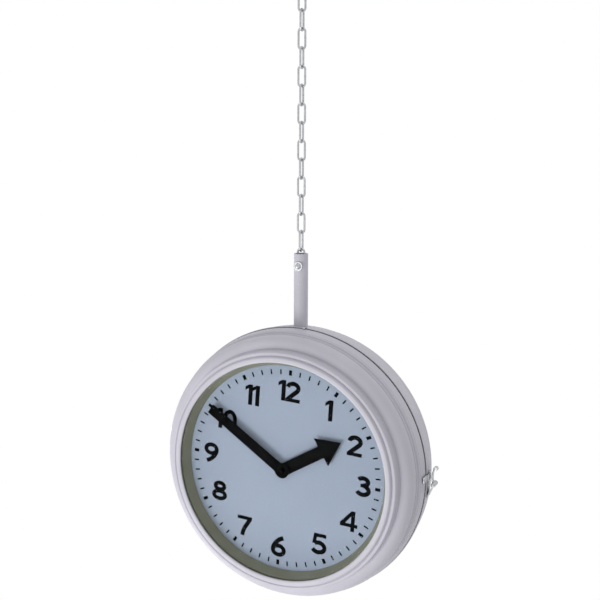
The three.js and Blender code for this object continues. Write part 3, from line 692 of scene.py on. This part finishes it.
def mouldings():
    """Outside of a case half from the opening to the band, as (radius, out) corners."""
    (r0, out0), (r1, out1) = OVOLO_START, OVOLO_END
    outline = [
        (OPENING_R, HALF_DEPTH - 1.4, 0.3),
        (OPENING_R + 0.1, HALF_DEPTH - 0.5, 0.5),
        (OPENING_R + 1.6, HALF_DEPTH, 0.8),
        (129.9, HALF_DEPTH, 1.2),
        (131.6, 50.2, 0.3),
        (132.6, 51.3, 0.6),
        (135.5, 51.2, 0.9),
        (136.3, 43.0, 0.3),
        (137.3, 42.2, 0.3),
    ]
    outline += arc(r0, out1, r1 - r0, out0 - out1, 90, 0, 16)
    outline += [
        (149.7, 26.7, 0.3),
        (151.5, 25.9, 0.7),
        (151.5, 24.1, 0.6),
        (150.9, 22.9, 0.2),
        (153.2, 22.0, 0.8),
        (153.2, 20.3, 0.6),
        (152.8, 19.4, 0.2),
        (153.6, 18.6, 0.4),
        (BAND_R, SEAM_EDGE, 0.3),
    ]
    return outline


def lining(band_end):
    """Inside of the sheet, from the band back to the opening."""
    (r0, out0), (r1, out1) = OVOLO_START, OVOLO_END
    curve = arc(r0 - SHEET, out1 - SHEET, r1 - r0, out0 - out1, 0, 90, 8)
    return [
        (BAND_R - SHEET, band_end, 0.1), (BAND_R - SHEET, 8), (151.6, 20.4 - SHEET), *curve,
        (136.4 - SHEET, 43.7 - SHEET), (134.2, 49.8), (131.3, 49.8), (128.8, 52.4), (OPENING_R, 52.0, 0.1),
    ]


def front_case():
    corners = mouldings() + lining(SEAM_EDGE)
    shell = turned("front_case_half", [(c[0], -c[1], *c[2:]) for c in corners])
    placed(shell, CASE, "front_door", "case_paint", ENAMEL, "front_case", smooth=50)


def rear_case():
    rim_back = RIM_WIDTH + SEAM_WIDTH - SEAM_OUT
    rim_front = rim_back - RIM_WIDTH + 0.3
    under = RIM_R - SHEET
    rim = [
        (BAND_R, rim_back, 0.2), (RIM_R, rim_back, 1.2), (RIM_R, rim_front, 0.9),
        (under + 0.1, rim_front, 0.3),
        (under, rim_front + 0.5), (under, rim_back - SHEET),
    ]
    outline = mouldings()
    outline[-1] = (BAND_R, SEAM_EDGE)
    corners = outline + rim + lining(rim_back - SHEET)
    shell = turned("rear_case_half", corners)
    shell.data.transform(CASE)
    top = (CASE_MIDDLE.z + BAND_R * MM) / MM
    carve(shell, rod("hole", TUBE_R + 0.3, top - 14, top + 14, "Z", steps=64))
    placed(shell, HERE, "clock_body", "case_paint", ENAMEL, "rear_case", smooth=50)


def seam_lug():
    low = BAND_R + 0.3
    high = RIM_R + 0.3
    back = RIM_WIDTH + SEAM_WIDTH - SEAM_OUT
    outline = softened([
        (-9, low, 0.2), (-9 + SHEET, low, 0.2), (-9 + SHEET, high, 0.4), (back, high, 0.2),
        (back, high + SHEET - 0.05, 0.3), (-9, high + SHEET - 0.05, 1.0),
    ], True)
    lug = thick_plate("seam_lug_strip", outline, -1.5, 1.5, "XY", 0.15)
    stand = Matrix.Rotation(math.pi / 2, 4, "Z") @ Matrix.Rotation(math.pi / 2, 4, "X")
    placed(lug, CASE @ stand, "clock_body", "zinc_steel", ZINC, "seam_lug")


# ------------------------------------------------------------------ dial and its print


def digit_strokes(digit):
    """Strokes of a plain geometric figure: ("line", points) for a ribbon, ("shape", outline) for a
    filled outline and ("ring", cx, cz, rx, rz) for a closed bowl, all about the figure's middle."""
    half = DIGIT_HEIGHT / 2
    edge = half - STROKE / 2
    if digit == 0:
        return [("ring", 0, 0, 9.0, half)]
    if digit == 1:
        return [("shape", [(4.6, -half), (4.6, half), (0.1, half), (-4.6, half - 3.1), (-4.6, half - 7.3),
                           (-0.4, half - 4.7), (-0.4, -half)])]
    if digit == 2:
        sweep = arc(-0.2, 4.3, 6.4, edge - 4.3, 176, -32)
        return [("line", sweep + [(-4.6, -7.6), (-6.9, -10.2)]),
                ("shape", [(-8.8, -half), (8.8, -half), (8.8, -half + 4.1), (-8.8, -half + 4.1)])]
    if digit == 3:
        upper = arc(-0.6, 5.3, 5.7, edge - 5.3, 158, -82)
        lower = arc(-0.4, -4.4, 6.9, edge - 4.4, 82, -158)
        return [("line", upper), ("line", lower),
                ("shape", [(-3.4, -1.1), (1.6, -1.1), (1.6, 3.0), (-3.4, 3.0)])]
    if digit == 4:
        return [("shape", [(2.4, -half), (6.9, -half), (6.9, half), (2.4, half)]),
                ("shape", [(-10.3, -7.0), (10.3, -7.0), (10.3, -2.9), (-10.3, -2.9)]),
                ("shape", [(-10.3, -4.6), (-5.4, -4.6), (6.9, half), (2.4, half), (-10.3, -2.9)])]
    if digit == 5:
        bowl = arc(-0.9, -3.8, 7.6, edge - 3.8, 128, -152)
        return [("shape", [(-6.9, half), (7.8, half), (7.8, half - 4.1), (-3.2, half - 4.1), (-4.4, 0.0),
                           (-8.4, 0.0)]), ("line", bowl)]
    if digit == 6:
        return [("ring", 0, -4.3, 9.3, half - 4.3),
                ("line", [(-7.1, -4.3), (-6.3, -0.4), (-4.2, 3.4), (0.3, 8.0), (5.2, half - 1.4)])]
    if digit == 7:
        return [("shape", [(-9.1, half), (9.1, half), (9.1, half - 3.0), (7.2, half - 4.1),
                           (-9.1, half - 4.1)]),
                ("line", [(7.0, half - 2.4), (3.4, 3.0), (0.2, -2.6), (-1.4, -7.4), (-1.9, -half)])]
    if digit == 8:
        return [("ring", 0, 5.5, 8.2, half - 5.5), ("ring", 0, -4.9, 9.7, half - 4.9)]
    return [(kind, [(-x, -z) for x, z in shape[0]]) if kind != "ring"
            else (kind, -shape[0], -shape[1], *shape[2:]) for kind, *shape in digit_strokes(6)]


def stroke_plate(stroke, front):
    """One stroke as a thin printed plate, standing just clear of the dial."""
    kind = stroke[0]
    back = front + INK
    if kind == "shape":
        return thick_plate("stroke", stroke[1], front, back)
    if kind == "line":
        return thick_plate("stroke", bent_strip(stroke[1], STROKE), front, back)
    cx, cz, rx, rz = stroke[1:]
    return thick_plate("stroke", arc(cx, cz, rx, rz, 0, 348.75, 31), front, back)


def digit_plate(digit):
    """Every stroke of a figure joined into one, with the bowls opened."""
    front = -DIAL_OUT - INK
    strokes = digit_strokes(digit)
    figure = stroke_plate(strokes[0], front)
    for stroke in strokes[1:]:
        carve(figure, stroke_plate(stroke, front), operation="UNION")
    for stroke in strokes:
        if stroke[0] == "ring":
            cx, cz, rx, rz = stroke[1:]
            bowl = arc(cx, cz, rx - STROKE, rz - STROKE + 0.2, 0, 348.75, 31)
            carve(figure, thick_plate("bowl", bowl, front - 1, -DIAL_OUT + 1))
    return figure


# middle of each hour's figures on the dial, and the figures with their shift from that middle
HOURS = {
    1: (48.3, 77.2, [(1, 0)]),
    2: (81.4, 43.6, [(2, 0)]),
    3: (94.7, 0.0, [(3, 0)]),
    4: (81.3, -42.6, [(4, 0)]),
    5: (48.6, -77.8, [(5, 0)]),
    6: (-0.3, -92.4, [(6, 0)]),
    7: (-44.7, -78.0, [(7, 0)]),
    8: (-78.8, -42.8, [(8, 0)]),
    9: (-92.4, 0.7, [(9, 0)]),
    10: (-75.6, 43.9, [(1, -9.3), (0, 4.7)]),
    11: (-44.7, 77.9, [(1, -4.4), (1, 4.4)]),
    12: (0.0, 90.2, [(1, -9.0), (2, 4.6)]),
}
TALLER = {5: 1.05, 6: 1.05}


def join_pieces(name, pieces):
    bpy.ops.object.select_all(action="DESELECT")
    for piece in pieces:
        piece.select_set(True)
    bpy.context.view_layer.objects.active = pieces[0]
    bpy.ops.object.join()
    pieces[0].name = pieces[0].data.name = name
    return pieces[0]


def numeral_print():
    """All twelve numerals as one printed layer."""
    patterns = {digit: digit_plate(digit) for digit in range(10)}
    layer = []
    for x, z, figures in HOURS.values():
        for digit, shift in figures:
            figure = copied(patterns[digit], "figure")
            figure.data.transform(Matrix.Scale(TALLER.get(digit, 1), 4, (0, 0, 1)))
            figure.data.transform(Matrix.Translation(Vector((x + shift, 0, z)) * MM))
            layer.append(figure)
    for pattern in patterns.values():
        bpy.data.objects.remove(pattern)
    return join_pieces("numerals", layer)


def minute_print():
    """Sixty marks round the edge, every fifth one broad."""
    layer = []
    for minute in range(60):
        width, length = MINUTE_TICK if minute % 5 else HOUR_TICK
        low = TICK_R - length / 2
        high = TICK_R + length / 2
        corners = [(-width / 2, low), (width / 2, low), (width / 2, high), (-width / 2, high)]
        mark = thick_plate("mark", corners, -DIAL_OUT - INK, -DIAL_OUT)
        mark.data.transform(Matrix.Rotation(math.radians(6 * minute), 4, "Y"))
        layer.append(mark)
    return join_pieces("minute_marks", layer)


def dials():
    numerals = numeral_print()
    marks = minute_print()
    for side, place in FACES.items():
        body = FACE_BODY[side]
        disc = turned(f"{side}_dial_sheet", [
            (4.3, -DIAL_OUT, 0.1), (DIAL_R, -DIAL_OUT, 0.2),
            (DIAL_R, 1 - DIAL_OUT, 0.2), (4.3, 1 - DIAL_OUT, 0.1),
        ])
        placed(disc, place, body, "dial_print", DIAL, f"{side}_dial")
        for layer in (numerals, marks):
            printed = copied(layer, f"{side}_{layer.name}")
            placed(printed, place, body, "black_hands", INK_BLACK)
    bpy.data.objects.remove(numerals)
    bpy.data.objects.remove(marks)


# ------------------------------------------------------------------ glass, reveal, hands


def glasses():
    for side, place in FACES.items():
        sheet = turned(f"{side}_glass_sheet", [
            (0, -GLASS_FRONT), (GLASS_R, -GLASS_FRONT, 0.3), (GLASS_R, -GLASS_BACK, 0.3), (0, -GLASS_BACK),
        ], closed=False)
        placed(sheet, place, FACE_BODY[side], "glass", GLASS, f"{side}_glass")


def reveal_rings():
    front = -GLASS_BACK + 0.3
    back = -DIAL_OUT - 0.3
    for side, place in FACES.items():
        ring = turned(f"{side}_reveal", [
            (REVEAL_GLASS_R, front, 0.3), (GLASS_R, front, 0.2), (GLASS_R, front + SHEET, 0.2),
            (REVEAL_GLASS_R + SHEET, front + SHEET, 0.3), (REVEAL_DIAL_R + SHEET, back - SHEET, 0.3),
            (122, back - SHEET, 0.2), (122, back, 0.2), (REVEAL_DIAL_R, back, 0.3),
        ])
        placed(ring, place, FACE_BODY[side], "reveal_paint", OLIVE, f"{side}_reveal_ring")


def hand_blade(name, outline, hub_r, hole_r, height, angle):
    front = -DIAL_OUT - height - HAND_THICK
    back = front + HAND_THICK
    blade = thick_plate(name, outline, front, back)
    hub = thick_plate("hub", arc(0, 0, hub_r, hub_r, 0, 352.5, 47), front, back)
    carve(blade, hub, operation="UNION")
    carve(blade, rod("bore", hole_r, front - 1, back + 1))
    round_edges(blade, 0.12)
    blade.data.transform(Matrix.Rotation(math.radians(angle), 4, "Y"))
    return blade


def hour_hand(side, place):
    blade = hand_blade(f"{side}_hour_blade", [
        (7.0, -1), (7.0, 53.5), (17.0, 53.5), (0, 80.4), (-17.0, 53.5), (-7.0, 53.5), (-7.0, -1),
    ], 8.0, 2.9, HOUR_HEIGHT, HOUR_ANGLE)
    placed(blade, place, f"{side}_hour", "black_hands", BLACK, f"{side}_hour_hand")


def minute_hand(side, place):
    blade = hand_blade(f"{side}_minute_blade", [
        (6.2, -1), (5.9, 108.2), (-5.9, 108.2), (-6.2, -1),
    ], 8.75, 1.6, MINUTE_HEIGHT, MINUTE_ANGLE)
    placed(blade, place, f"{side}_minute", "black_hands", BLACK, f"{side}_minute_hand")


def cap_nut(side, place):
    back = -DIAL_OUT - MINUTE_HEIGHT - HAND_THICK - 0.3
    cap = turned(f"{side}_cap", [
        (0, back - 2.6), (1.6, back - 2.45, 0.5), (3.0, back - 1.6, 0.6), (3.8, back - 0.4, 0.4),
        (3.8, back, 0.15), (1.6, back, 0.1), (1.6, back - 1.7), (0, back - 1.7),
    ], 48, closed=False)
    placed(cap, place, f"{side}_minute", "black_hands", BLACK, f"{side}_cap_nut")


def hands():
    for side, place in FACES.items():
        hour_hand(side, place)
        minute_hand(side, place)
        cap_nut(side, place)


# ------------------------------------------------------------------ hinge


def hinge_leaf(name, run, gaps):
    """Flat leaf and arm from a bent strip, with its knuckles, drawn about the pin axis."""
    half = HINGE_LENGTH / 2
    leaf = thick_plate(name, bent_strip(run, SHEET - 0.1), -half, half, "XY")
    barrel = rod("barrel", KNUCKLE_R - 0.05, 0.05 - half, half - 0.05, "Z", steps=40)
    carve(leaf, barrel, operation="UNION")
    for low, high in gaps:
        room = rod("room", KNUCKLE_R + 0.9, low, high, "Z", steps=46)
        carve(leaf, room)
    carve(leaf, rod("bore", 1.6, -half - 1, half + 1, "Z"))
    round_edges(leaf, 0.12)
    return leaf


def hinge():
    stand = CASE @ Matrix.Translation((-HINGE_R * MM, HINGE_Y * MM, 0))
    mid = KNUCKLE_SPAN / 2
    seat = HINGE_R - BAND_R - 0.3 - SHEET / 2
    front = hinge_leaf("front_leaf", [(seat, -16), (seat, -4.4), (2.4, -2.6), (0.6, -1.4)],
                       [(-mid - 0.3, mid + 0.3)])
    placed(front, stand, "front_door", "zinc_steel", ZINC, "hinge_leaf_front")
    rear = hinge_leaf("rear_leaf", [(seat, 18.2), (seat, 6.4), (3.0, 3.6), (1.4, 1.4)],
                      [(-HINGE_LENGTH, -mid), (mid, HINGE_LENGTH)])
    placed(rear, stand, "clock_body", "zinc_steel", ZINC, "hinge_leaf_rear")
    half = HINGE_LENGTH / 2 + 0.3
    pin = turned("hinge_rivet", [
        (0, -half - 1.5), (2.15, -half - 1.2, 0.5), (2.2, -half, 0.2), (1.3, -half, 0.1),
        (1.3, half + 0.95, 0.2),
        (0, half + 0.95),
    ], 40, "Z", closed=False)
    placed(pin, stand, "clock_body", "zinc_steel", ZINC, "hinge_pin")


# ------------------------------------------------------------------ catch


def latch_bracket():
    inner = BAND_R + 0.3
    outer = inner + SHEET
    low = math.degrees(math.asin(-16 / inner))
    high = math.degrees(math.asin(13 / inner))
    base_outline = arc(0, 0, outer - 0.05, outer - 0.05, low, high, 10)
    base_outline += arc(0, 0, inner, inner, high, low, 10)
    base = thick_plate("catch_bracket", base_outline, LATCH_FROM, LATCH_TO)
    strap_run = [(outer - 0.5, -15), (LATCH_R - 3, -6.75), (LATCH_R, 0)]
    strap = thick_plate("strap", bent_strip(strap_run, SHEET - 0.1), LATCH_FROM + 0.1, LATCH_TO - 0.1)
    ears = rod("ears", LATCH_EYE_R, LATCH_FROM + 0.05, LATCH_TO - 0.05, "Y", (LATCH_R, 0), chamfer=0.2)
    carve(base, strap, ears, operation="UNION")
    slot_half = (LATCH_TO - LATCH_FROM) / 2 - LATCH_EAR
    mid = (LATCH_TO + LATCH_FROM) / 2
    slot_outline = [(LATCH_R - 3.8, -4.05), (LATCH_R + 7, -4.05), (LATCH_R + 7, 4.05), (LATCH_R - 3.8, 4.05)]
    slot = thick_plate("slot", slot_outline, mid - slot_half, mid + slot_half)
    carve(base, slot, rod("bore", LATCH_BORE_R, LATCH_FROM - 1, LATCH_TO + 1, "Y", (LATCH_R, 0)))
    round_edges(base, 0.12)
    placed(base, LATCH, "clock_body", "zinc_steel", ZINC, "latch_bracket")


def latch_pin():
    pin = turned("catch_rivet", [
        (0, LATCH_FROM - 1.3), (1.5, LATCH_FROM - 1.15, 0.4), (1.85, LATCH_FROM - 0.5, 0.2),
        (1.85, LATCH_FROM - 0.3),
        (1, LATCH_FROM - 0.3), (1, LATCH_TO + 0.3), (1.85, LATCH_TO + 0.3), (1.85, LATCH_TO + 0.5, 0.2),
        (1.5, LATCH_TO + 1.15, 0.4), (0, LATCH_TO + 1.3),
    ], 32, closed=False)
    pin.data.transform(Matrix.Translation((LATCH_R * MM, 0, 0)))
    placed(pin, LATCH, "clock_body", "zinc_steel", ZINC, "latch_pin")


def latch_lever():
    low = LATCH_FROM + LATCH_EAR + LATCH_PLAY
    high = LATCH_TO - LATCH_EAR - LATCH_PLAY
    run = [(LATCH_R, 0), (LATCH_R - 1.9, 3.5), (LATCH_R - 2.4, 7.5), (LATCH_R - 2.2, 12.5)]
    run.append((LATCH_R - 1.2, 16.5))
    run += arc(LATCH_R + 0.6, 17.6, 1.9, 1.9, 175, -40, 14)
    arm = thick_plate("catch_lever_arm", bent_strip(run, SHEET - 0.1), low, high)
    eye = rod("eye", LATCH_EYE_R, low - 0.1, high + 0.1, "Y", (LATCH_R, 0), chamfer=0.2)
    carve(arm, eye, operation="UNION")
    carve(arm, rod("bore", LATCH_BORE_R, low - 1, high + 1, "Y", (LATCH_R, 0)))
    round_edges(arm, 0.12)
    placed(arm, LATCH, "catch_lever", "zinc_steel", ZINC, "latch_lever")


def latch_keeper():
    seat = BAND_R + 0.3 + SHEET / 2
    over = RIM_R + 0.6 + SHEET / 2
    rim_front = -SEAM_OUT + SEAM_WIDTH
    run = [(seat, -17), (seat, rim_front - 3.4), (over, rim_front - 1.4), (over, 5)]
    tongue = thick_plate("catch_keeper", bent_strip(run, SHEET - 0.05), -3.5, 3.5, "XY", 0.15)
    rise = Matrix.Rotation(-9 / RIM_R, 4, "Y")
    placed(tongue, LATCH @ rise, "front_door", "zinc_steel", ZINC, "latch_keeper")


def latch():
    latch_bracket()
    latch_pin()
    latch_lever()
    latch_keeper()


# ------------------------------------------------------------------ movements and fittings inside


def movement(side, place, body):
    """Moulded box with a round-ended battery bay at the bottom of its open back."""
    half = MOVEMENT_SIDE / 2
    corners = [(half, half, 4), (-half, half, 4), (-half, -half, 4), (half, -half, 4)]
    box = thick_plate(f"{side}_movement_box", softened(corners, True, 6), MOVEMENT_FRONT, MOVEMENT_BACK)
    round_edges(box, 0.5)
    carve(box, rod("bush", 4.0, -DIAL_OUT - 3, MOVEMENT_FRONT + 2, chamfer=0.4), operation="UNION")
    bay_half = BATTERY_LENGTH / 2 + 1.2
    room = BATTERY_R + 0.6
    corners = [(bay_half, room, 1), (-bay_half, room, 1), (-bay_half, -room, 1), (bay_half, -room, 1)]
    bay_floor = MOVEMENT_BACK - 2 * BATTERY_R - 0.3
    bay = thick_plate("bay", softened(corners, True, 3), bay_floor, MOVEMENT_BACK + 1)
    bay.data.transform(Matrix.Translation((0, 0, -BATTERY_DROP * MM)))
    pipe_room = rod("pipe_room", 2.9, -DIAL_OUT - 4, -DIAL_OUT + 6.3)
    arbor_room = rod("arbor_room", 1.6, MOVEMENT_FRONT, MOVEMENT_BACK + 1)
    carve(box, bay, pipe_room, arbor_room)
    placed(box, place, body, "movement_plastic", PLASTIC, f"{side}_movement")


def battery(side, place, body):
    half = BATTERY_LENGTH / 2
    cell = turned(f"{side}_cell", [
        (0, -half + 0.2), (3.2, -half + 0.2), (3.4, -half + 0.5), (5.6, -half + 0.5), (5.8, -half, 0.1),
        (BATTERY_R, -half, 0.5), (BATTERY_R, half, 0.7), (5.6, half, 0.2), (5.4, half - 0.5),
        (3.0, half - 0.5, 0.2), (2.7, half + 1.2, 0.4), (0, half + 1.2),
    ], 48, closed=False)
    lie = Matrix.Translation(Vector((-0.6, MOVEMENT_BACK - BATTERY_R, -BATTERY_DROP)) * MM)
    placed(cell, place @ lie @ Matrix.Rotation(-math.pi / 2, 4, "Z"), body, "battery_jacket", JACKET,
           f"{side}_battery")


def back_plate(side, place, body):
    low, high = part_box(f"{side}_back_plate")
    radius = (high.x - low.x) / 2 / MM - 0.2
    front = -DIAL_OUT + 1.3
    plate = turned(f"{side}_mounting_plate", [
        (4.3, front, 0.1), (118, front, 0.4), (119, front + 0.3, 0.4), (radius, front + 0.3, 0.2),
        (radius, front + SHEET, 0.2), (119, front + SHEET, 0.4), (118, front + SHEET - 0.3, 0.4),
        (4.3, front + SHEET - 0.3, 0.1),
    ])
    placed(plate, place, body, "inner_steel", STEEL, f"{side}_back_plate")


def set_knob(side, place):
    """Knob with forty-eight fine flutes, hollow where it grips the arbor."""
    flutes = [(6.0 if k % 2 else 5.7) for k in range(96)]
    outline = [(r * math.cos(FULL * k / 96), r * math.sin(FULL * k / 96)) for k, r in enumerate(flutes)]
    start = MOVEMENT_BACK + 0.3
    knob = thick_plate(f"{side}_knob_body", outline, start, start + 4.4)
    dish_run = [(0, start + 4.0), (4.2, start + 4.0, 0.3), (4.6, start + 5), (0, start + 5)]
    dish = turned("dish", dish_run, 48, closed=False)
    carve(knob, dish, rod("bore", 1.6, start - 1, start + 3))
    placed(knob, place, f"{side}_knob", "movement_plastic", PLASTIC, f"{side}_set_knob")


def motion_work(side, place, body):
    """Nut over the bush, and the hour pipe and minute arbor that carry the hands."""
    nut = hexagon_nut(f"{side}_bush_nut", 6.5, 4.3, -DIAL_OUT - 2.5, -DIAL_OUT - 0.3)
    placed(nut, place, body, "brass", BRASS, f"{side}_dial_nut")
    pipe = turned(f"{side}_pipe", [
        (1.6, -DIAL_OUT - 5.2, 0.1), (2.6, -DIAL_OUT - 5.2, 0.2),
        (2.6, 6 - DIAL_OUT, 0.2), (1.6, 6 - DIAL_OUT, 0.1),
    ], 32)
    placed(pipe, place, f"{side}_hour", "brass", BRASS, f"{side}_hour_pipe")
    arbor = rod(f"{side}_arbor", 1.28, -DIAL_OUT - 8.5, MOVEMENT_BACK + 3, chamfer=0.2)
    placed(arbor, place, f"{side}_minute", "brass", BRASS, f"{side}_minute_arbor")


def tube_saddle():
    """Curved strip under the band with the tube through it."""
    low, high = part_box("tube_bracket")
    outer = (high.z - CASE_MIDDLE.z) / MM - 0.05
    half = (high.y - low.y) / 2 / MM - 0.1
    spread = math.degrees(math.asin((high.x - low.x) / 2 / MM / outer)) - 0.1
    outline = arc(0, 0, outer, outer, 90 - spread, 90 + spread, 12)
    outline += arc(0, 0, outer - SHEET, outer - SHEET, 90 + spread, 90 - spread, 12)
    saddle = thick_plate("tube_saddle", outline, -half, half, edge=0.15)
    carve(saddle, rod("hole", TUBE_R + 0.3, outer - 8, outer + 4, "Z", steps=64))
    stand = Matrix.Translation((0, 0, CASE_MIDDLE.z))
    placed(saddle, stand, "clock_body", "inner_steel", STEEL, "tube_bracket")


def inside():
    tube_saddle()
    for side, place in FACES.items():
        body = FACE_BODY[side]
        for make in (movement, battery, back_plate, motion_work):
            make(side, place, body)
        set_knob(side, place)


# ------------------------------------------------------------------ room, lamps and camera


def backdrop():
    """White where the camera, a mirror or the glass looks, softer as a light."""
    world = bpy.data.worlds.new("studio")
    bpy.context.scene.world = world
    world.use_nodes = True
    tree = world.node_tree
    tree.nodes.clear()
    path = add(tree, "ShaderNodeLightPath").outputs
    seen = either(tree, path["Is Camera Ray"], path["Is Glossy Ray"])
    seen = either(tree, seen.outputs[0], path["Is Transmission Ray"])
    level = add(tree, "ShaderNodeMapRange", {"Value": seen.outputs[0], "To Min": 0.6, "To Max": 1.0})
    sky = add(tree, "ShaderNodeBackground", {"Color": (1, 1, 1, 1), "Strength": level.outputs["Result"]})
    add(tree, "ShaderNodeOutputWorld", {"Surface": sky.outputs["Background"]})


def floor():
    """Pale studio floor far below the hanging clock."""
    bpy.ops.object.select_all(action="DESELECT")
    bpy.ops.mesh.primitive_plane_add(size=3, location=(0, 0, 0))
    ground = bpy.context.object
    ground.name = ground.data.name = "studio_floor"
    ground.data.transform(Matrix.Translation((0, 0, -2.2)))
    material, tree, _ = blank("pale_floor")
    matt = add(tree, "ShaderNodeBsdfDiffuse", {"Color": (0.92, 0.92, 0.92, 1)})
    glow = add(tree, "ShaderNodeEmission", {"Color": (1, 1, 1, 1), "Strength": 1.0})
    path = add(tree, "ShaderNodeLightPath").outputs
    seen = either(tree, path["Is Camera Ray"], path["Is Glossy Ray"])
    seen = either(tree, seen.outputs[0], path["Is Transmission Ray"])
    share = add(tree, "ShaderNodeMath", {0: seen.outputs[0], 1: 0.8}, operation="MULTIPLY")
    both = add(tree, "ShaderNodeMixShader", {"Fac": share.outputs[0]})
    tree.links.new(matt.outputs["BSDF"], both.inputs[1])
    tree.links.new(glow.outputs["Emission"], both.inputs[2])
    close(tree, both.outputs["Shader"])
    ground.data.materials.append(material)


def lamp(name, place, target, size, power):
    light = bpy.data.lights.new(name, "AREA")
    light.shape = "DISK"
    light.size = size
    light.energy = power
    holder = bpy.data.objects.new(name, light)
    bpy.context.scene.collection.objects.link(holder)
    aim = Vector(target) - Vector(place)
    turn = aim.to_track_quat("-Z", "Y").to_matrix().to_4x4()
    holder.matrix_world = Matrix.Translation(Vector(place)) @ turn


def lamps():
    target = CASE_MIDDLE
    lamp("key", target + Vector((-1.0, -2.0, -1.0)), target, 1.2, 26)
    lamp("low", target + Vector((-1.24, -0.52, -1.48)), target, 1.0, 12)
    lamp("top", target + Vector((0.4, 0.3, 2.0)), target, 1.2, 6)


# viewing angle of the photograph: place from the middle of the front dial, in dial units
DIAL_UNIT = 0.112
CAMERA_FROM_DIAL = (4.1348, -9.0244, 3.4259)
CAMERA_RIGHT = (0.9173, 0.3981, 0.0047)
CAMERA_UP = (-0.0648, 0.1376, 0.9884)
CAMERA_LENS = 62.05
CAMERA_SHIFT = (-0.0100, -0.0317)


def camera():
    dial_middle = CASE @ Vector((0, -DIAL_OUT * MM, 0))
    right = Vector(CAMERA_RIGHT).normalized()
    back = right.cross(Vector(CAMERA_UP)).normalized()
    up = back.cross(right)
    turn = Matrix((right, up, back)).transposed().to_4x4()
    lens = bpy.data.cameras.new("camera")
    lens.sensor_width = 36
    lens.lens = CAMERA_LENS
    lens.shift_x, lens.shift_y = CAMERA_SHIFT
    lens.clip_start = 0.01
    holder = bpy.data.objects.new("camera", lens)
    holder.matrix_world = Matrix.Translation(dial_middle + Vector(CAMERA_FROM_DIAL) * DIAL_UNIT) @ turn
    bpy.context.scene.collection.objects.link(holder)
    bpy.context.scene.camera = holder


camera()
ceiling_plate()
ceiling_eye()
chain()
suspension_tube()
bolt_parts()
tube_fixings()
front_case()
rear_case()
seam_lug()
dials()
glasses()
reveal_rings()
hands()
hinge()
latch()
inside()
backdrop()
floor()
lamps()
bpy.context.scene.view_settings.view_transform = "Standard"
